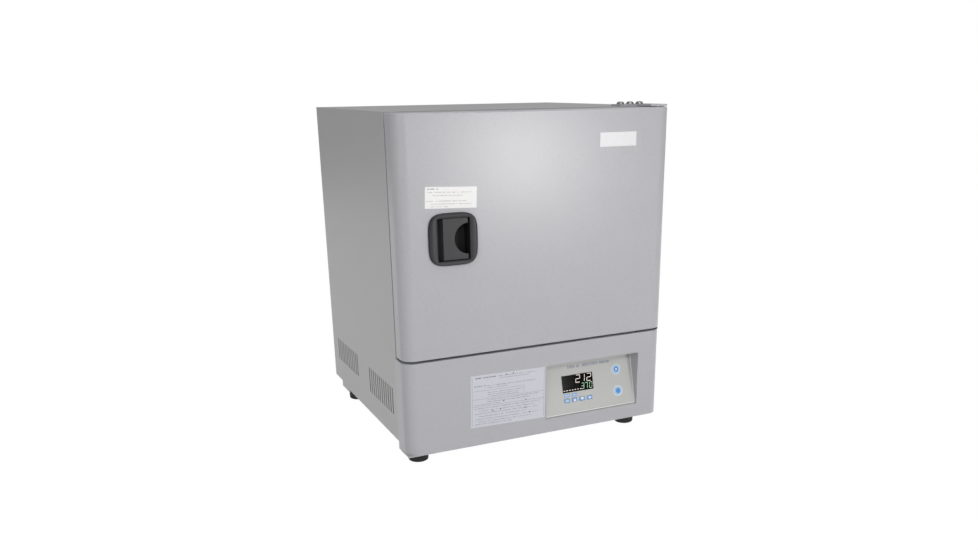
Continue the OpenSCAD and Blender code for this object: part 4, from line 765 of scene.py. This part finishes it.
# A node tree's result on a start mesh, as plain mesh
def grownMesh(name, tree, values, start):
    group, identifiers = tree
    holder = bpy.data.objects.new(name, start)
    bpy.context.scene.collection.objects.link(holder)
    modifier = holder.modifiers.new(name, "NODES")
    modifier.node_group = group
    for key, value in values.items():
        modifier[identifiers[key]] = value
    bpy.context.view_layer.update()
    mesh = bpy.data.meshes.new_from_object(holder.evaluated_get(bpy.context.evaluated_depsgraph_get()))
    mesh.name = name
    bpy.data.objects.remove(holder)
    return mesh


def rowMesh(name, rows):
    mesh = bpy.data.meshes.new(name)
    points = [(x * mm, y * mm, 0) for x0, x1, y in rows for x in (x0, x1)]
    mesh.from_pydata(points, [(k, k + 1) for k in range(0, len(points), 2)], [])
    return mesh


# Rows are from x to x at a height, in millimetres on the flat label
def smallPrint(name, rows, look, ink, place, body):
    values = {"Pitch": look["pitch"] * mm, "Stroke width": look["stroke"][0] * mm,
              "Stroke height": look["stroke"][1] * mm, "Ink depth": printLooks["ink"] * mm,
              "Kept share": look["kept"], "Seed": look["seed"], "Ink": finishes[ink]}
    mesh = grownMesh(name, printedRows, values, rowMesh(name + "Rows", rows))
    mesh.transform(place)
    return newPiece(name, mesh, None, body)


printLooks = {
    "ink": 0.06,  # its height, half of it over the surface
    "title": {"pitch": 2.1, "stroke": (1.3, 6.6), "kept": 0.88, "seed": 4},
    "heading": {"pitch": 1.5, "stroke": (1.0, 2.2), "kept": 0.9, "seed": 2},
    "text": {"pitch": 1.05, "stroke": (0.75, 1.5), "kept": 0.82, "seed": 7},
}
smallPrint("panelTitle", panelPrint["title"], printLooks["title"], "titleInk", panelPlace, "cabinet")

# Screws of the rear cover
rearScrews = {
    "x": 231, "levels": (73, 316.4, 555), "face": 221, "head": (3.6, 2.7, 1.8), "socket": (4, 1.5, 1.1),
    "shank": (1.8, 7), "sharpAngle": 30,
}


def makeRearScrews(setup):
    points = bpy.data.meshes.new("rearScrewPlaces")
    points.from_pydata([(s * setup["x"] * mm, setup["face"] * mm, z * mm)
                        for s in (-1, 1) for z in setup["levels"]], [], [])
    values = {"Head radius": setup["head"][0] * mm, "Crown radius": setup["head"][1] * mm,
              "Head height": setup["head"][2] * mm, "Socket sides": setup["socket"][0],
              "Socket radius": setup["socket"][1] * mm, "Socket depth": setup["socket"][2] * mm,
              "Shank radius": setup["shank"][0] * mm, "Shank length": setup["shank"][1] * mm,
              "Turn": (math.radians(-90), 0, 0), "Finish": finishes["zincPlate"]}
    mesh = grownMesh("rearCoverScrews", headedScrews, values, points)
    piece = newPiece("rearCoverScrews", mesh, None, "cabinet", ["rear_cover_screws"])
    smoothed(piece, setup["sharpAngle"])


makeRearScrews(rearScrews)
print("printed title and screws made")

# Labels: a plate or film, small print on it, and darker marks
labelSettings = {
    "door": {
        "middle": (-153.5, 439.75), "size": (84, 32), "corner": 1.2, "turn": 2.4, "face": -217,
        "thick": 0.2,
        # rows as distances from the label's upper left corner: down, from, to
        "title": [(3.2, 2.8, 20.6)],
        "text": [(8.1, 3, 75.5), (12.7, 10.4, 59.8), (21, 2.4, 67), (25.3, 10, 75), (29.2, 10, 36)],
    },
    "fascia": {
        "middle": (-60.8, 105.8), "size": (137, 90), "turn": 1.1, "face": -215.5, "thick": 0.2,
        # rows as shares of the label's height and width: down, from, to
        "headings": [(.055, .05, .32), (.21, .05, .19)],
        "text": [(.057, .35, .88), (.096, .37, .77), (.218, .22, .86), (.255, .22, .48), (.35, .22, .68),
                 (.39, .22, .62), (.425, .22, .64), (.49, .22, .9), (.53, .22, .78), (.57, .05, .38),
                 (.64, .05, .92), (.69, .1, .84), (.74, .05, .9), (.795, .1, .74), (.85, .05, .9),
                 (.9, .1, .8), (.945, .05, .55)],
        "lines": [(.018, .03, .018, .97), (.982, .03, .982, .97), (.03, .3, .71, .3), (.71, .3, .71, .42),
                  (.018, .46, .982, .46), (.018, .6, .982, .6)],
        "marks": [(.47, .045), (.56, .037), (.287, .714), (.39, .7), (.735, .59), (.73, .744), (.784, .84),
                  (.433, .55)],
        "lineWidth": 0.35, "lineInk": 0.04, "mark": 1.1, "markSides": 8, "markInk": 0.05,
    },
}


def facing(setup, lift=0.0):
    x, z = setup["middle"]
    return (Matrix.Translation((x * mm, (setup["face"] - lift) * mm, z * mm))
            @ Matrix.Rotation(math.radians(setup.get("turn", 0)), 4, "Y")
            @ Matrix.Rotation(math.radians(90), 4, "X"))


def makeDoorLabel(setup):
    width, height = setup["size"]
    flatPiece("doorLabel", [roundedOutline(0, 0, width, height, setup["corner"])], 0, setup["thick"],
              "labelWhite", "door", "label_film", facing(setup), ["door_label"])
    for name, rows, look, ink in (("doorLabelTitle", "title", "heading", "greyInk"),
                                  ("doorLabelText", "text", "text", "faintInk")):
        placed = [(a - width / 2, b - width / 2, height / 2 - down) for down, a, b in setup[rows]]
        smallPrint(name, placed, printLooks[look], ink, facing(setup, setup["thick"]), "door")


def makeFasciaLabel(setup):
    width, height = setup["size"]
    printed = facing(setup, setup["thick"])

    def at(u, v):
        return (u - 0.5) * width, (0.5 - v) * height

    for name, rows, look, ink in (("fasciaLabelHeadings", "headings", "heading", "darkInk"),
                                  ("fasciaLabelText", "text", "text", "greyInk")):
        placed = [(at(a, v)[0], at(b, v)[0], at(a, v)[1]) for v, a, b in setup[rows]]
        smallPrint(name, placed, printLooks[look], ink, printed, "cabinet")
    lines = []
    for u0, v0, u1, v1 in setup["lines"]:
        (x0, y0), (x1, y1), half = at(u0, v0), at(u1, v1), setup["lineWidth"] / 2
        lines.append(strip(x0 - half, y1 - half, x1 + half, y0 + half))
    flatPiece("fasciaLabelLines", lines, 0, setup["lineInk"], "greyInk", "cabinet", "label_film", printed)
    marks = [ringOutline(*at(u, v), setup["mark"], setup["markSides"]) for u, v in setup["marks"]]
    flatPiece("fasciaLabelMarks", marks, 0, setup["markInk"], "darkInk", "cabinet", "label_film", printed)


makeDoorLabel(labelSettings["door"])
makeFasciaLabel(labelSettings["fascia"])
brokenEdges("badgePlate", "badge_plate", "badgeWhite", "door", edge=0.25)
print("labels made")

# Everything else keeps its CAD shape and gets its own finish
plainFinishes = {
    "brushedStainless": ["inner_liner", "shelf_racks", "air_baffle", "latch_keeper", "latch_bolt",
                         "glass_clamps", "glass_hinge_brackets"],
    "cabinetCoat": ["upper_hinge_plate"],
    "polishedWire": ["shelf_upper", "shelf_lower", "temperature_probe", "motor_shaft"],
    "zincPlate": ["divider_plate", "foot_screws", "hinge_pins", "glass_hinge_pins", "handle_pin",
                  "handle_spring", "latch_plate", "fan_motor", "fan_wheel", "transformer"],
    "passivatedSteel": ["hinge_bolts"],
    # the lower hinge bracket carries painted shade of the seam between door and fascia
    "bracketPaintedShade": ["lower_hinge_bracket"],
    "heatTint": ["air_heater"],
    "mouldedBlack": ["mains_inlet", "catch_magnet", "glass_knob"],
    "footRubber": ["feet"],
    "siliconeSeal": ["door_seal", "glass_seal"],
    "turnedAcetal": ["door_bushes"],
    "woolBoard": ["cabinet_insulation", "door_insulation"],
    "solderMask": ["control_board", "power_board"],
    "labelLilac": ["fascia_label"],
    "glass": ["glass_pane"],
}
for finish, nodes in plainFinishes.items():
    for node in nodes:
        mesh = cadNodes[node].data
        mesh.materials.clear()
        mesh.materials.append(finishes[finish])
print("other nodes finished")

# Studio: pale floor, white surround, soft lamps
studio = {
    # floorWhite is the floor's share of plain white to the camera and to reflections
    "floor": 8.0, "floorAlbedo": 0.92, "floorWhite": 0.97, "floorGlow": 1.02, "ambient": 0.38,
    # place, size and watts of each lamp
    "lamps": [
        ("keyLamp", (-0.5, -3.6, 2.3), (0.9, 0.7), 25.5),
        ("glossLamp", (1.01, -2.37, 0.33), (0.25, 0.25), 10),
        ("topLamp", (0.3, -0.6, 3.2), (2.0, 2.0), 20),
        ("leftLamp", (-2.4, -2.3, 1.1), (0.9, 1.2), 7.5),
    ],
    "aim": (0, 0, 0.3),
}


def makeStudio(setup):
    half = setup["floor"] / 2
    work = bmesh.new()
    corners = [work.verts.new((x * half, y * half, 0)) for x, y in ((-1, -1), (1, -1), (1, 1), (-1, 1))]
    work.faces.new(corners)
    floor = bpy.data.objects.new("paleFloor", meshFrom(work, "paleFloor"))
    bpy.context.scene.collection.objects.link(floor)
    material, tree = emptyMaterial("paleFloor")
    ray = addNode(tree, "ShaderNodeLightPath")
    seen = addNode(tree, "ShaderNodeMath", {"operation": "MAXIMUM"},
                   {0: ray.outputs["Is Camera Ray"], 1: ray.outputs["Is Glossy Ray"]})
    seen = addNode(tree, "ShaderNodeMath", {"operation": "MAXIMUM"},
                   {0: seen.outputs[0], 1: ray.outputs["Is Transmission Ray"]})
    share = addNode(tree, "ShaderNodeMath", {"operation": "MULTIPLY", 1: setup["floorWhite"]},
                    {0: seen.outputs[0]})
    matt = addNode(tree, "ShaderNodeBsdfDiffuse", {"Color": (*[setup["floorAlbedo"]] * 3, 1)})
    white = addNode(tree, "ShaderNodeEmission", {"Strength": setup["floorGlow"]})
    mix = addNode(tree, "ShaderNodeMixShader", None,
                  {0: share.outputs[0], 1: matt.outputs[0], 2: white.outputs[0]})
    addNode(tree, "ShaderNodeOutputMaterial", None, {"Surface": mix.outputs[0]})
    floor.data.materials.append(material)
    world = bpy.data.worlds.new("whiteSurround")
    bpy.context.scene.world = world
    world.use_nodes = True
    tree = world.node_tree
    tree.nodes.clear()
    ray = addNode(tree, "ShaderNodeLightPath")
    seen = addNode(tree, "ShaderNodeMath", {"operation": "MAXIMUM"},
                   {0: ray.outputs["Is Camera Ray"], 1: ray.outputs["Is Transmission Ray"]})
    level = addNode(tree, "ShaderNodeMapRange", {"To Min": setup["ambient"], "To Max": 1.0},
                    {"Value": seen.outputs[0]})
    light = addNode(tree, "ShaderNodeBackground", {"Color": (1, 1, 1, 1)}, {"Strength": level.outputs[0]})
    addNode(tree, "ShaderNodeOutputWorld", None, {"Surface": light.outputs[0]})
    for name, place, size, power in setup["lamps"]:
        data = bpy.data.lights.new(name, "AREA")
        data.shape, data.size, data.size_y, data.energy = "RECTANGLE", size[0], size[1], power
        lamp = bpy.data.objects.new(name, data)
        bpy.context.scene.collection.objects.link(lamp)
        lamp.location = place
        lamp.rotation_euler = (Vector(setup["aim"]) - Vector(place)).to_track_quat("-Z", "Y").to_euler()


makeStudio(studio)
bpy.context.scene.view_settings.view_transform = "Standard"
print("studio made")
